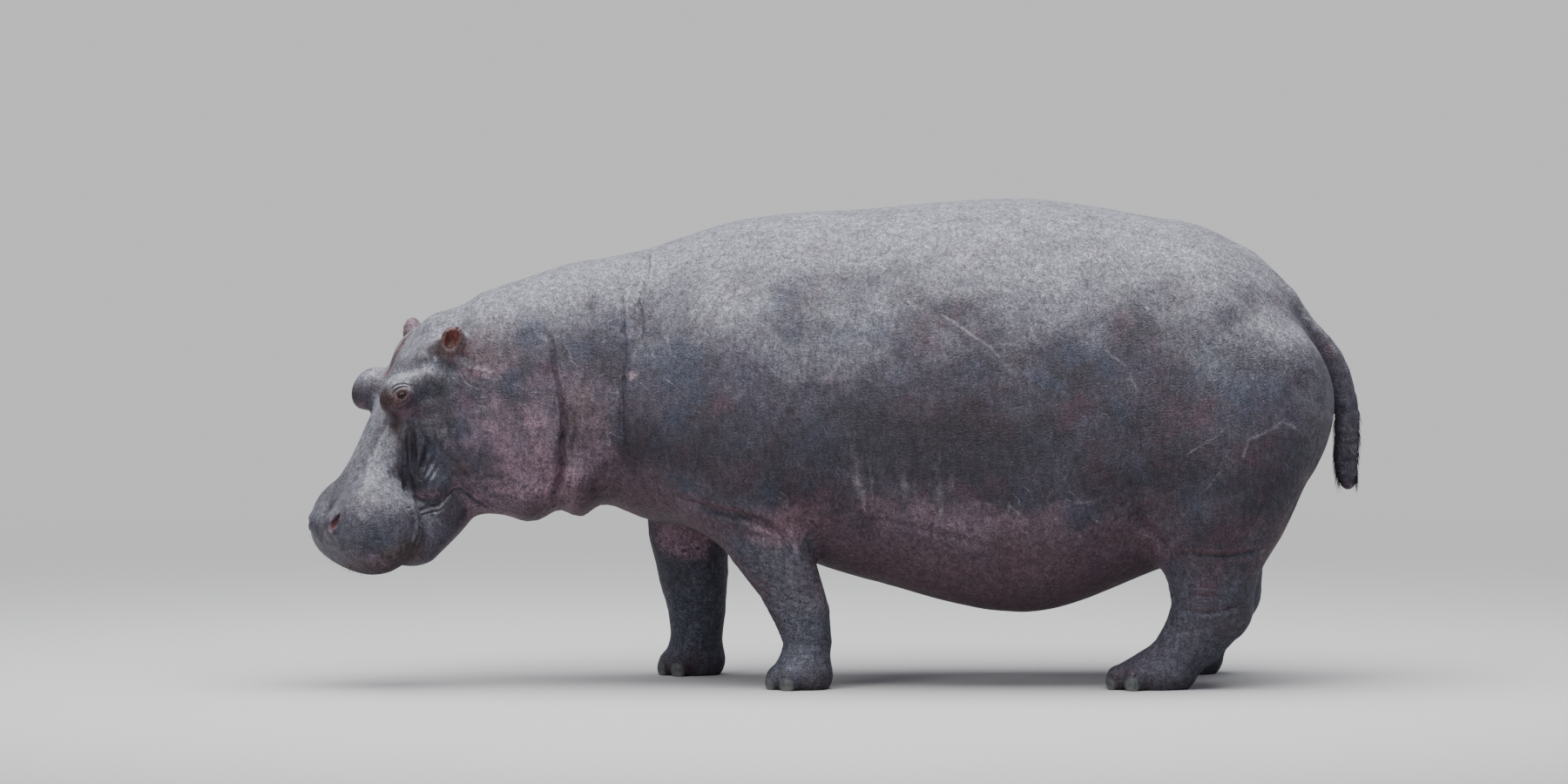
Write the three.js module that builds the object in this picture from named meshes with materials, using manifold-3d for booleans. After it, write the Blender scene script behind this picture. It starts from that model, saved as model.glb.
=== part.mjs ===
// A life-size common hippopotamus, standing, its head lowered and turned to its left.
//
// Millimetres, +Z up. The animal faces -X and its left side is towards -Y. The origin is on the
// ground, under the middle of the bounding box.
//
// The whole animal is one smooth field: a torso, a skull and a jaw lofted through a few sections,
// with rounded masses for the shoulders, thighs, limbs and cheeks melted into them. Each named part
// is the skin of that field, meshed at its own fineness and parted from its neighbours by thin cuts.

import * as THREE from 'three';
import { mergeVertices } from 'three/addons/utils/BufferGeometryUtils.js';
import Module from 'manifold-3d';

const wasm = await Module();
wasm.setup();

// ---------------------------------------------------------------- driving dimensions

const GAP = 0.4; // clear space left between two parts
const BIG = 6000; // longer than the animal, for cutting blocks

const WITHERS = 1475; // height of the shoulders
const BACK = 1542; // highest point of the back
const PAUNCH = 225; // clearance under the belly
const RUMP = 1578; // where the body ends under the tail, behind the torso's datum

const HEAD = {
  eyes: [-1408, -190, 941], // midway between the eyes
  turn: 21, // degrees to the animal's left
  nod: 57, // degrees below level
  eyeSpread: 166, // half of the distance between the eyes
};

// Fineness of each part's mesh.
const CELL = { trunk: 130, neck: 105, head: 47, ear: 25, leg: 80, foot: 50, stump: 46, tail: 36 };

const FLESH = { color: 0x6d666d, roughness: 0.62, metalness: 0 };
const LOOKS = {
  hide: FLESH,
  leg: { ...FLESH, color: 0x5d6069 },
  ear: { color: 0x8a5044, roughness: 0.6, metalness: 0 },
  eye: { color: 0x2a1a12, roughness: 0.1, metalness: 0 },
  nail: { color: 0x6f7a7c, roughness: 0.5, metalness: 0 },
};

// ---------------------------------------------------------------- fields
// A field takes a point and gives roughly its distance to the surface, negative inside.

const clamp = THREE.MathUtils.clamp;
const point = (x, y, z) => new THREE.Vector3(x, y, z);

function ellipsoid(centre, radii) {
  const [cx, cy, cz] = centre;
  const [rx, ry, rz] = radii;
  return (p) => {
    const x = (p.x - cx) / rx;
    const y = (p.y - cy) / ry;
    const z = (p.z - cz) / rz;
    const k = Math.hypot(x, y, z);
    return k < 1e-6 ? -Math.min(rx, ry, rz) : (k * (k - 1)) / Math.hypot(x / rx, y / ry, z / rz);
  };
}

// A limb through joints, each [x, y, z, radius], tapering evenly from one to the next.
function limb(joints) {
  const bones = joints.slice(1).map((end, i) => {
    const from = point(...joints[i]);
    const along = point(...end).sub(from);
    return { from, along, length2: along.lengthSq(), r0: joints[i][3], r1: end[3] };
  });
  return (p) =>
    Math.min(
      ...bones.map(({ from, along, length2, r0, r1 }) => {
        const off = p.clone().sub(from);
        const t = clamp(off.dot(along) / length2, 0, 1);
        return off.addScaledVector(along, -t).length() - THREE.MathUtils.lerp(r0, r1, t);
      }),
    );
}

// Divides a field by its slope, so that it reads as a distance where it is stretched.
function evened(field) {
  const step = 2;
  return (p) => {
    const here = field(p);
    const dx = field(point(p.x + step, p.y, p.z)) - here;
    const dy = field(point(p.x, p.y + step, p.z)) - here;
    const dz = field(point(p.x, p.y, p.z + step)) - here;
    return here / Math.max(Math.hypot(dx, dy, dz) / step, 0.3);
  };
}

// A smooth value of one key of the sections, for a place between the first and the last.
function between(sections, key, at) {
  const i = clamp(sections.findIndex((s) => s.at >= at), 1, sections.length - 1);
  const value = (k) => sections[clamp(k, 0, sections.length - 1)][key] ?? 0;
  const place = (k) => sections[clamp(k, 0, sections.length - 1)].at;
  const slope = (k) => (value(k + 1) - value(k - 1)) / (place(k + 1) - place(k - 1));
  const span = place(i) - place(i - 1);
  const t = clamp((at - place(i - 1)) / span, 0, 1);
  return (
    (2 * t ** 3 - 3 * t ** 2 + 1) * value(i - 1) +
    (t ** 3 - 2 * t ** 2 + t) * span * slope(i - 1) +
    (3 * t ** 2 - 2 * t ** 3) * value(i) +
    (t ** 3 - t ** 2) * span * slope(i)
  );
}

// A body lofted along x through upright oval sections { at, top, bottom, half, side }. Each end is
// closed by a rounded cap { length, height, power }. Square is the ovals' fullness, and pear makes
// them wider low down.
function loft(sections, { start, end, square = 2.2, pear = 0 }) {
  const first = sections[0].at;
  const last = sections.at(-1).at;
  return evened((p) => {
    const at = clamp(p.x, first, last);
    const cap = p.x > last ? end : start;
    const over = Math.abs(p.x - at) / cap.length;
    const power = cap.power ?? 2;
    const top = between(sections, 'top', at);
    const bottom = between(sections, 'bottom', at);
    const middle = THREE.MathUtils.lerp((top + bottom) / 2, cap.height, Math.min(over, 1));
    const y = p.y - between(sections, 'side', at);
    const z = p.z - middle;
    const up = (2 * z) / (top - bottom);
    const out = y / (between(sections, 'half', at) * (1 - pear * clamp(up, -1, 1)));
    const round = (Math.abs(up) ** square + Math.abs(out) ** square) ** (1 / square);
    const size = (over ** power + round ** power) ** (1 / power);
    return Math.hypot(p.x - at, y, z) * (1 - 1 / Math.max(size, 1e-3));
  });
}

// Fields melted into one, each over its own width.
function melt(...layers) {
  return (p) =>
    layers.reduce((sum, [field, width]) => {
      const next = field(p);
      if (sum === null) return next;
      const near = Math.max(width - Math.abs(sum - next), 0) / width;
      return Math.min(sum, next) - (near * near * width) / 4;
    }, null);
}

function inFrame(matrix, field) {
  const back = matrix.clone().invert();
  return (p) => field(p.clone().applyMatrix4(back));
}

const bothSides = (make) => [make(1), make(-1)]; // 1 is the left, -1 the right

// ---------------------------------------------------------------- meshing and cutting

// The surface where a field is zero, as triangles: one corner in each grid cell that it crosses.
function surfaceOf(field, low, high, cell) {
  const count = low.map((v, i) => Math.ceil((high[i] - v) / cell) + 1);
  const at = (i, j, k) => point(low[0] + i * cell, low[1] + j * cell, low[2] + k * cell);
  const key = (i, j, k) => (k * count[1] + j) * count[0] + i;
  const value = new Float64Array(count[0] * count[1] * count[2]);
  const edge = (n, axis) => n === 0 || n === count[axis] - 1; // the surface is closed at the bounds
  for (let k = 0; k < count[2]; k++)
    for (let j = 0; j < count[1]; j++)
      for (let i = 0; i < count[0]; i++)
        value[key(i, j, k)] = edge(i, 0) || edge(j, 1) || edge(k, 2) ? cell : field(at(i, j, k));

  partPinches(value, count, key);

  const corners = [0, 1, 2, 3, 4, 5, 6, 7].map((n) => [n & 1, (n >> 1) & 1, n >> 2]);
  const edges = corners.flatMap((a, m) =>
    [1, 2, 4].filter((bit) => !(m & bit)).map((bit) => [a, corners[m | bit]]),
  );
  const places = [];
  const cornerOf = new Map();
  for (let k = 0; k < count[2] - 1; k++)
    for (let j = 0; j < count[1] - 1; j++)
      for (let i = 0; i < count[0] - 1; i++) {
        const sum = point(0, 0, 0);
        let crossings = 0;
        for (const [a, b] of edges) {
          const va = value[key(i + a[0], j + a[1], k + a[2])];
          const vb = value[key(i + b[0], j + b[1], k + b[2])];
          if (va < 0 === vb < 0) continue;
          const from = at(i + a[0], j + a[1], k + a[2]);
          sum.add(from.lerp(at(i + b[0], j + b[1], k + b[2]), va / (va - vb)));
          crossings += 1;
        }
        if (!crossings) continue;
        cornerOf.set(key(i, j, k), places.length);
        places.push(settled(field, sum.divideScalar(crossings), cell / 2));
      }

  const triangles = [];
  const axes = [[1, 0, 0], [0, 1, 0], [0, 0, 1]];
  for (let k = 0; k < count[2] - 1; k++)
    for (let j = 0; j < count[1] - 1; j++)
      for (let i = 0; i < count[0] - 1; i++)
        axes.forEach((step, n) => {
          const here = value[key(i, j, k)] < 0;
          if (here === value[key(i + step[0], j + step[1], k + step[2])] < 0) return;
          const [u, v] = [axes[(n + 1) % 3], axes[(n + 2) % 3]];
          const around = [[0, 0], [1, 0], [1, 1], [0, 1]].map(([a, b]) =>
            cornerOf.get(key(i - a * u[0] - b * v[0], j - a * u[1] - b * v[1], k - a * u[2] - b * v[2])),
          );
          const [a, b, c, d] = here ? around : around.reverse();
          const short = places[a].distanceTo(places[c]) < places[b].distanceTo(places[d]);
          triangles.push(...(short ? [a, b, c, a, c, d] : [a, b, d, b, c, d]));
        });
  const geometry = new THREE.BufferGeometry().setFromPoints(places);
  geometry.setIndex(triangles);
  return solidOf(geometry);
}

// Where two sheets of the surface would touch along an edge, on a grid face whose corners lie in and
// out by turns, one corner changes sides.
function partPinches(value, count, key) {
  const steps = [[0, 1, 0, 0, 0, 1], [1, 0, 0, 0, 0, 1], [1, 0, 0, 0, 1, 0]];
  for (let k = 1; k < count[2] - 1; k++)
    for (let j = 1; j < count[1] - 1; j++)
      for (let i = 1; i < count[0] - 1; i++)
        for (const [ux, uy, uz, vx, vy, vz] of steps) {
          const face = [
            key(i, j, k),
            key(i + ux, j + uy, k + uz),
            key(i + ux + vx, j + uy + vy, k + uz + vz),
            key(i + vx, j + vy, k + vz),
          ];
          const inside = face.map((corner) => value[corner] < 0);
          if (inside[0] !== inside[2] || inside[1] !== inside[3] || inside[0] === inside[1]) continue;
          const outer = face.filter((corner) => value[corner] >= 0);
          const weaker = value[outer[0]] < value[outer[1]] ? outer[0] : outer[1];
          value[weaker] = -1e-3;
        }
}

// Moves a point onto the surface along the field's slope, by no more than reach.
function settled(field, place, reach) {
  const step = 1;
  const p = place.clone();
  for (let round = 0; round < 3; round++) {
    const here = field(p);
    const slope = point(
      field(point(p.x + step, p.y, p.z)) - here,
      field(point(p.x, p.y + step, p.z)) - here,
      field(point(p.x, p.y, p.z + step)) - here,
    ).divideScalar(step);
    p.addScaledVector(slope, -here / Math.max(slope.lengthSq(), 0.1));
    if (p.distanceTo(place) > reach) p.sub(place).setLength(reach).add(place);
  }
  return p;
}

// A three.js geometry as a solid for cutting.
function solidOf(geometry, matrix = new THREE.Matrix4()) {
  const bare = geometry.clone().applyMatrix4(matrix);
  bare.deleteAttribute('normal');
  bare.deleteAttribute('uv');
  const merged = mergeVertices(bare, 1e-3);
  return new wasm.Manifold(
    new wasm.Mesh({
      numProp: 3,
      vertProperties: merged.attributes.position.array,
      triVerts: new Uint32Array(merged.index.array),
    }),
  );
}

function geometryOf(solid) {
  const mesh = solid.getMesh();
  const places = new Float32Array(mesh.numVert * 3);
  for (let i = 0; i < mesh.numVert; i++) {
    places.set(mesh.vertProperties.subarray(i * mesh.numProp, i * mesh.numProp + 3), i * 3);
  }
  const geometry = new THREE.BufferGeometry();
  geometry.setAttribute('position', new THREE.BufferAttribute(places, 3));
  geometry.setIndex(new THREE.BufferAttribute(mesh.triVerts, 1));
  geometry.computeVertexNormals();
  return geometry;
}

// A pit or a ball: a sphere drawn out to three radii.
function ballOf(radii, around = 8, down = 6) {
  return new THREE.SphereGeometry(1, around, down).scale(...radii);
}

// A block in a frame, from low to high, drawn in by a margin on every face.
function block(frame, low, high, margin = 0) {
  const size = high.map((v, i) => v - low[i] - 2 * margin);
  const middle = high.map((v, i) => (v + low[i]) / 2);
  const place = frame.clone().multiply(new THREE.Matrix4().makeTranslation(...middle));
  return solidOf(new THREE.BoxGeometry(...size), place);
}

// What lies on the side of a cut that its normal points to (1), or on the other side (-1), from a
// little way off the cut.
function sideOf(solid, cut, side, off = GAP / 2) {
  const normal = cut.normal.clone().multiplyScalar(side);
  return solid.trimByPlane(normal.toArray(), off - side * cut.constant);
}

// A cut through two places [x, z] in the animal's middle plane, turned by yaw degrees about the
// upright through the first. Its normal points towards the head.
function cutThrough(a, b, yaw = 0) {
  const normal = point(a[1] - b[1], 0, b[0] - a[0]).normalize();
  if (normal.x > 0) normal.negate();
  normal.applyAxisAngle(point(0, 0, 1), THREE.MathUtils.degToRad(yaw));
  return new THREE.Plane().setFromNormalAndCoplanarPoint(normal, point(a[0], 0, a[1]));
}

// ---------------------------------------------------------------- torso

const torso = loft(
  [
    { at: -1083, top: 1256, bottom: 568, half: 240, side: -110 }, // throat
    { at: -833, top: 1337, bottom: 556, half: 296, side: -45 }, // neck
    { at: -700, top: 1358, bottom: 566, half: 325, side: -26 },
    { at: -583, top: 1380, bottom: 522, half: 352, side: -10 }, // collar
    { at: -278, top: WITHERS, bottom: 458, half: 422 }, // shoulders
    { at: 139, top: 1508, bottom: 325, half: 482 }, // girth
    { at: 639, top: BACK, bottom: PAUNCH, half: 515 }, // paunch
    { at: 1083, top: WITHERS, bottom: 375, half: 484 }, // loin
  ],
  {
    start: { length: 150, height: 880 },
    end: { length: RUMP - 1083, height: 905, power: 1.85 },
    square: 2.25,
    pear: 0.1,
  },
);

const shoulder = (side) => ellipsoid([-330, -side * 262, 850], [190, 172, 330]);
const thigh = (side) => ellipsoid([1262, -side * 278, 700], [222, 200, 330]);
const throatRoll = ellipsoid([-792, -40, 700], [85, 300, 170]);
const buttock = (side) => ellipsoid([1330, -side * 215, 895], [280, 225, 300]);

// ---------------------------------------------------------------- limbs

// Each leg's joints from the top down, then its foot: where the sole's middle stands, how far the
// toes reach ahead of it and the pad's half-length. Room is the span of x that the leg has to itself.
const LEGS = {
  front_left: {
    joints: [[-290, -285, 640, 150], [-205, -290, 480, 122], [-125, -290, 345, 101], [-82, -288, 240, 90],
      [-62, -285, 150, 76], [-78, -285, 70, 76]],
    foot: { middle: [-80, -285], reach: 82, pad: 84 },
    room: [-480, 90],
  },
  front_right: {
    joints: [[-440, 265, 620, 150], [-444, 268, 465, 128], [-428, 268, 325, 112], [-418, 265, 212, 93],
      [-418, 262, 140, 84], [-425, 262, 70, 80]],
    foot: { middle: [-428, 262], reach: 80, pad: 86 },
    room: [-700, -130],
  },
  hind_left: {
    joints: [[1225, -290, 560, 180], [1222, -295, 410, 150], [1224, -292, 265, 130], [1165, -290, 165, 102],
      [1105, -290, 98, 84], [1050, -290, 60, 66]],
    foot: { middle: [1030, -290], reach: 112, pad: 120 },
    room: [800, 1480],
  },
  hind_right: {
    joints: [[1245, 290, 560, 180], [1252, 295, 410, 150], [1262, 292, 268, 130], [1228, 290, 168, 102],
      [1190, 290, 98, 84], [1150, 290, 60, 66]],
    foot: { middle: [1135, 290], reach: 112, pad: 120 },
    room: [840, 1520],
  },
};
const TOES = { angles: [-62, -21, 21, 62], radius: 40, height: 34, spread: 72 };
const ANKLE = 118; // where each foot is parted from its leg
const NAIL = { thick: 15, half: 27, tall: 31, height: 24 };

// The tips of a foot's toes, with the way each points, as [x, y, angle about the upright].
function toesOf({ middle, reach }) {
  return TOES.angles.map((degrees) => {
    const turn = THREE.MathUtils.degToRad(degrees);
    return [middle[0] - reach * Math.cos(turn), middle[1] + TOES.spread * Math.sin(turn), turn];
  });
}

function footField(foot) {
  const [x, y] = foot.middle;
  const pad = ellipsoid([x + 12, y, 42], [foot.pad, 86, 72]);
  const toes = toesOf(foot).map(([tx, ty]) =>
    limb([[x, y, 62, 52], [tx, ty, TOES.height, TOES.radius]]),
  );
  return melt([pad, 0], ...toes.map((toe) => [toe, 16]));
}

const legFields = Object.fromEntries(
  Object.entries(LEGS).map(([name, leg]) => [name, melt([limb(leg.joints), 0], [footField(leg.foot), 40])]),
);

// ---------------------------------------------------------------- head

// The head's own frame: x towards the nose, y to the animal's left, z out of the forehead.
function headFrame() {
  const turn = new THREE.Matrix4().makeRotationZ(THREE.MathUtils.degToRad(180 + HEAD.turn));
  const nod = new THREE.Matrix4().makeRotationY(THREE.MathUtils.degToRad(HEAD.nod));
  return new THREE.Matrix4().makeTranslation(...HEAD.eyes).multiply(turn).multiply(nod);
}
const head = headFrame();

const skull = loft(
  [
    { at: -230, top: 0, bottom: -300, half: 150 }, // poll
    { at: -110, top: 8, bottom: -320, half: 165 },
    { at: 0, top: -8, bottom: -300, half: 150 }, // eyes
    { at: 110, top: -14, bottom: -250, half: 112 },
    { at: 220, top: -27, bottom: -245, half: 108 }, // narrowest
    { at: 320, top: -36, bottom: -285, half: 165 },
    { at: 400, top: -44, bottom: -318, half: 212 }, // muzzle
  ],
  { start: { length: 140, height: -150 }, end: { length: 138, height: -178, power: 2.7 }, square: 2.5 },
);

const jaw = loft(
  [
    { at: -150, top: -180, bottom: -500, half: 170 },
    { at: 0, top: -190, bottom: -490, half: 165 },
    { at: 130, top: -200, bottom: -468, half: 142 },
    { at: 250, top: -215, bottom: -450, half: 145 },
    { at: 370, top: -250, bottom: -414, half: 158 }, // chin
  ],
  { start: { length: 120, height: -340 }, end: { length: 75, height: -310 }, square: 2.3 },
);

const brow = (side) => ellipsoid([2, side * (HEAD.eyeSpread - 36), 2], [72, 52, 54]);
const earMound = (side) => ellipsoid([-168, side * 108, -52], [72, 50, 52]);
const nostrilMound = (side) => ellipsoid([440, side * 70, -66], [50, 42, 32]);
const lip = (side) => ellipsoid([385, side * 118, -178], [128, 108, 138]);
const cheek = (side) => ellipsoid([-32, side * 112, -430], [186, 118, 165]);
const masseter = (side) => ellipsoid([12, side * 98, -235], [190, 78, 135]);

// The left ear in the head's frame; the right ear mirrors it.
const EAR = {
  root: [-175, 148, -62],
  grows: [-62, 32, 22], // from the root to the middle of the cup
  faces: [0.45, 0.85, 0.15],
  stalk: [36, 26], // its radius at the root and under the cup
  cup: [46, 37, 20], // half of its height, width and thickness
  bowl: [35, 27, 18], // the same of its hollow
};

// The ear's frame, in the head's: x along the ear, z out of the hollow of its cup.
function earFrame(side) {
  const flip = point(1, side, 1);
  const along = point(...EAR.grows).multiply(flip).normalize();
  const across = point(...EAR.faces).multiply(flip).cross(along).normalize();
  return new THREE.Matrix4()
    .makeBasis(along, across, along.clone().cross(across))
    .setPosition(point(...EAR.root).multiply(flip));
}

const earLength = Math.hypot(...EAR.grows);
const earStalk = limb([[-20, 0, 0, EAR.stalk[0]], [earLength, 0, 0, EAR.stalk[1]]]);
const ear = melt([earStalk, 0], [ellipsoid([earLength, 0, 0], EAR.cup), 12]);

const headMasses = melt(
  [skull, 0],
  [jaw, 36],
  ...bothSides((side) => [masseter(side), 60]),
  ...bothSides((side) => [cheek(side), 50]),
  ...bothSides((side) => [lip(side), 40]),
  ...bothSides((side) => [brow(side), 55]),
  ...bothSides((side) => [nostrilMound(side), 26]),
  ...bothSides((side) => [earMound(side), 50]),
);
const headField = inFrame(head, headMasses);

// ---------------------------------------------------------------- tail

// The joints of the sacrum's ridge, running down the rump into the tail's root, then of the tail.
const SACRUM = [[1300, 0, 1250, 120], [1530, 0, 1115, 62]];
const TAIL = [
  SACRUM[1], [1590, 0, 1073, 50], [1628, 0, 1000, 41], [1650, 0, 920, 37], [1659, 0, 850, 36],
  [1656, 0, 780, 38], [1653, 0, 720, 36], [1657, 0, 664, 31], [1660, 0, 636, 24],
];
const tailField = limb(TAIL);

// ---------------------------------------------------------------- the whole animal

const body = melt(
  [torso, 0],
  ...bothSides((side) => [shoulder(side), 160]),
  ...bothSides((side) => [thigh(side), 160]),
  ...bothSides((side) => [buttock(side), 60]),
  [limb(SACRUM), 60],
  ...Object.values(legFields).map((leg) => [leg, 70]),
  [throatRoll, 26],
  [headField, 90],
);

// ---------------------------------------------------------------- cuts

const world = new THREE.Matrix4();
const pollCut = cutThrough([-1090, 1217], [-862, 536], 16); // between head and neck
const collarCut = cutThrough([-569, 1383], [-653, 536], 4); // between neck and trunk
const MOUTH = { corner: 128, muzzle: 268, height: -305 }; // in the head's frame
const jawBlock = [[MOUTH.corner, -BIG, -BIG], [BIG, BIG, MOUTH.height]];
const muzzleBlock = [[MOUTH.muzzle, -BIG, MOUTH.height], [BIG, BIG, BIG]];
const snoutBlock = [[MOUTH.muzzle, -BIG, -BIG], [BIG, BIG, BIG]];
const earBlock = [[-10, -48, -30], [160, 48, 52]]; // in each ear's frame

const level = (height) => new THREE.Plane(point(0, 0, 1), -height);
const aboveGround = (solid) => sideOf(solid, level(0), 1, 0);

// The cut across the top of each leg, sloping as the fold there does.
const legCuts = {
  front_left: cutThrough([-500, 478], [-44, 368]),
  front_right: cutThrough([-500, 478], [-44, 368]),
  hind_left: cutThrough([850, 248], [1400, 468]),
  hind_right: cutThrough([850, 248], [1400, 468]),
};
for (const cut of Object.values(legCuts)) if (cut.normal.z > 0) cut.negate();

const tailCut = cutThrough([1560, 1035], [1650, 1080]).negate(); // below it, behind the rump, is tail
const tailBlock = [[1594, -100, 560], [1780, 100, 1120]];

// ---------------------------------------------------------------- parts

const hippopotamus = new THREE.Group();

function finish(name, solid, look) {
  const mesh = new THREE.Mesh(geometryOf(solid), new THREE.MeshStandardMaterial(LOOKS[look]));
  mesh.name = name;
  hippopotamus.add(mesh);
}

function around(frame, low, high) {
  const box = new THREE.Box3(point(...low), point(...high)).applyMatrix4(frame);
  return [box.min.toArray(), box.max.toArray()];
}

// Trunk, neck and tail.
const legBlocks = Object.entries(LEGS).map(([name, { room }]) => {
  const across = name.endsWith('left') ? [-600, -30] : [30, 600];
  return { name, low: [room[0], across[0], -100], high: [room[1], across[1], 600] };
});

function makeTrunk() {
  const whole = surfaceOf(body, [-840, -720, -100], [1800, 720, 1700], CELL.trunk);
  const ridge = limb([...SACRUM, ...TAIL.slice(1, 3)]);
  const stump = surfaceOf(ridge, [1400, -160, 900], [1720, 160, 1400], CELL.stump);
  let trunk = sideOf(whole, collarCut, -1).add(stump);
  trunk = trunk.subtract(sideOf(block(world, ...tailBlock), tailCut, 1, -GAP / 2));
  for (const { name, low, high } of legBlocks) {
    const below = sideOf(block(world, low, high), legCuts[name], 1, -GAP / 2);
    trunk = trunk.subtract(below);
  }
  finish('trunk', trunk, 'hide');
}

function makeNeck() {
  let neck = surfaceOf(body, [-1300, -560, 400], [-420, 420, 1500], CELL.neck);
  neck = sideOf(sideOf(neck, collarCut, 1), pollCut, -1);
  finish('neck', neck, 'hide');
}

function makeTail() {
  const tail = surfaceOf(tailField, [1380, -120, 520], [1780, 120, 1250], CELL.tail);
  finish('tail', sideOf(tail.intersect(block(world, ...tailBlock, GAP)), tailCut, 1), 'hide');
}

// Legs and feet.
function makeLeg(name) {
  const { low, high } = legBlocks.find((b) => b.name === name);
  const wider = (corner, by) => corner.map((v) => v + by);
  const whole = surfaceOf(body, wider(low, -2 * CELL.leg), wider(high, 2 * CELL.leg), CELL.leg);
  const leg = whole.intersect(block(world, low, high, GAP));
  finish(`${name}_leg`, sideOf(sideOf(leg, legCuts[name], 1), level(ANKLE), 1), 'leg');
}

function nailOf([x, y, turn], grow = 0) {
  const shape = ballOf([NAIL.thick + grow, NAIL.half + grow, NAIL.tall + grow], 7, 4);
  const outward = TOES.radius - NAIL.thick + 1;
  const place = new THREE.Matrix4()
    .makeTranslation(x, y, NAIL.height)
    .multiply(new THREE.Matrix4().makeRotationZ(-turn))
    .multiply(new THREE.Matrix4().makeTranslation(-outward, 0, 0));
  return aboveGround(solidOf(shape, place));
}

function makeFoot(name) {
  const { low, high } = legBlocks.find((b) => b.name === name);
  let foot = surfaceOf(body, low, [high[0], high[1], 300], CELL.foot);
  foot = aboveGround(sideOf(foot, level(ANKLE), -1));
  toesOf(LEGS[name].foot).forEach((toe, i) => {
    foot = foot.subtract(nailOf(toe, GAP));
    finish(`${name}_nail_${i + 1}`, nailOf(toe), 'nail');
  });
  finish(`${name}_foot`, foot, 'leg');
}

// Head.
const EYE = { radius: 21, at: [4, HEAD.eyeSpread, 2] }; // the left eye's ball, in the head's frame
const NOSTRIL = { at: [450, 82, -46], radii: [26, 11, 26], slant: 8 };

function eyeOf(side, grow = 0) {
  const place = new THREE.Matrix4().makeTranslation(...point(...EYE.at).multiply(point(1, side, 1)));
  const radius = EYE.radius + grow;
  return solidOf(ballOf([radius, radius, radius], 10, 7), head.clone().multiply(place));
}

function nostrilOf(side) {
  const shape = ballOf(NOSTRIL.radii).rotateZ(THREE.MathUtils.degToRad(-side * NOSTRIL.slant));
  const place = new THREE.Matrix4().makeTranslation(...point(...NOSTRIL.at).multiply(point(1, side, 1)));
  return solidOf(shape, head.clone().multiply(place));
}

function makeEar(side) {
  const frame = head.clone().multiply(earFrame(side));
  const [low, high] = around(frame, [-50, -90, -80], [170, 90, 90]);
  const whole = melt([body, 0], [inFrame(frame, ear), 30]);
  const bowl = frame.clone().multiply(new THREE.Matrix4().makeTranslation(earLength + 2, 0, 14));
  const rough = surfaceOf(whole, low, high, CELL.ear).intersect(block(frame, ...earBlock, GAP));
  return rough.subtract(solidOf(ballOf(EAR.bowl), bowl));
}

function makeHead() {
  const [low, high] = around(head, [-420, -300, -640], [620, 300, 140]);
  let whole = surfaceOf(body, low, high, CELL.head);
  whole = sideOf(whole, pollCut, 1);
  for (const [name, side] of [['left', 1], ['right', -1]]) {
    finish(`ear_${name}`, makeEar(side), 'ear');
    finish(`eye_${name}`, eyeOf(side), 'eye');
    whole = whole.subtract(block(head.clone().multiply(earFrame(side)), ...earBlock));
    whole = whole.subtract(eyeOf(side, GAP)).subtract(nostrilOf(side));
  }
  finish('lower_jaw', whole.intersect(block(head, ...jawBlock, GAP)), 'hide');
  finish('muzzle', whole.intersect(block(head, ...muzzleBlock, GAP)), 'hide');
  finish('head', whole.subtract(block(head, ...snoutBlock)).subtract(block(head, ...jawBlock)), 'hide');
}

makeTrunk();
makeNeck();
makeTail();
for (const name of Object.keys(LEGS)) {
  makeLeg(name);
  makeFoot(name);
}
makeHead();

// The origin goes under the middle of the animal's bounding box.
const middle = new THREE.Box3().setFromObject(hippopotamus).getCenter(point(0, 0, 0));
hippopotamus.position.set(-middle.x, -middle.y, 0);

export default hippopotamus;
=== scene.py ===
"""Dresses the standing hippopotamus: one skin, eyes, toenails and bristles, in a plain studio.

The animal's masses are given in millimetres in its own frame, in which it faces -X, its left side is
towards -Y and the ground is Z = 0. Anatomy turns them into places in the model, in metres.
"""

import logging
import math
from contextlib import contextmanager
from dataclasses import dataclass, field, replace
from enum import Enum
from typing import Callable, Iterator, Sequence

import bpy
import numpy as np
from mathutils import Matrix, Vector


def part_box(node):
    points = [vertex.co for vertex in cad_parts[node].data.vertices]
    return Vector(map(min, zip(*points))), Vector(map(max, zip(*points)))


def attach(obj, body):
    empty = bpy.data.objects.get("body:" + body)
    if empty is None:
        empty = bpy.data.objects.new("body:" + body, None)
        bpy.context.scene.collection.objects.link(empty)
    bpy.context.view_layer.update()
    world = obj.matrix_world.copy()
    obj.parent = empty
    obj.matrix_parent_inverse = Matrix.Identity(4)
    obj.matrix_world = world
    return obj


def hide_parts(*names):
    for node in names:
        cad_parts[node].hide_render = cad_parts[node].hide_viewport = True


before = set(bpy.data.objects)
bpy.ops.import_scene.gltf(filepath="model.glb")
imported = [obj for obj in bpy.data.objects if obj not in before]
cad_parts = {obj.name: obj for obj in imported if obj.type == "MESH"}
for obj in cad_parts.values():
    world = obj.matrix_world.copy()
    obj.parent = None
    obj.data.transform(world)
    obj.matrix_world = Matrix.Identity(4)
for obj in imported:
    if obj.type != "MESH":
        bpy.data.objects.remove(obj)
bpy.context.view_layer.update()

MM = 0.001
FAR = 1e3  # a field's value, in millimetres, where it isn't worked out
SHADE_REACH = 60  # how far from its path a crease or a trail can mark the skin
LOG = logging.getLogger("hippopotamus")

Points = np.ndarray
Field = Callable[[Points], np.ndarray]
Piece = bpy.types.Object
Material = bpy.types.Material
Tree = bpy.types.NodeTree
Node = bpy.types.Node
Socket = bpy.types.NodeSocket
Pair = tuple[float, float]
Triple = tuple[float, float, float]
Joint = tuple[float, float, float, float]
Path = Sequence[Triple]


class Side(Enum):
    """The animal's own sides, as the sign of a place across its head."""

    LEFT = 1
    RIGHT = -1


# ------------ fields
# A field takes points and gives roughly their distance to a surface, negative inside.


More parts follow.
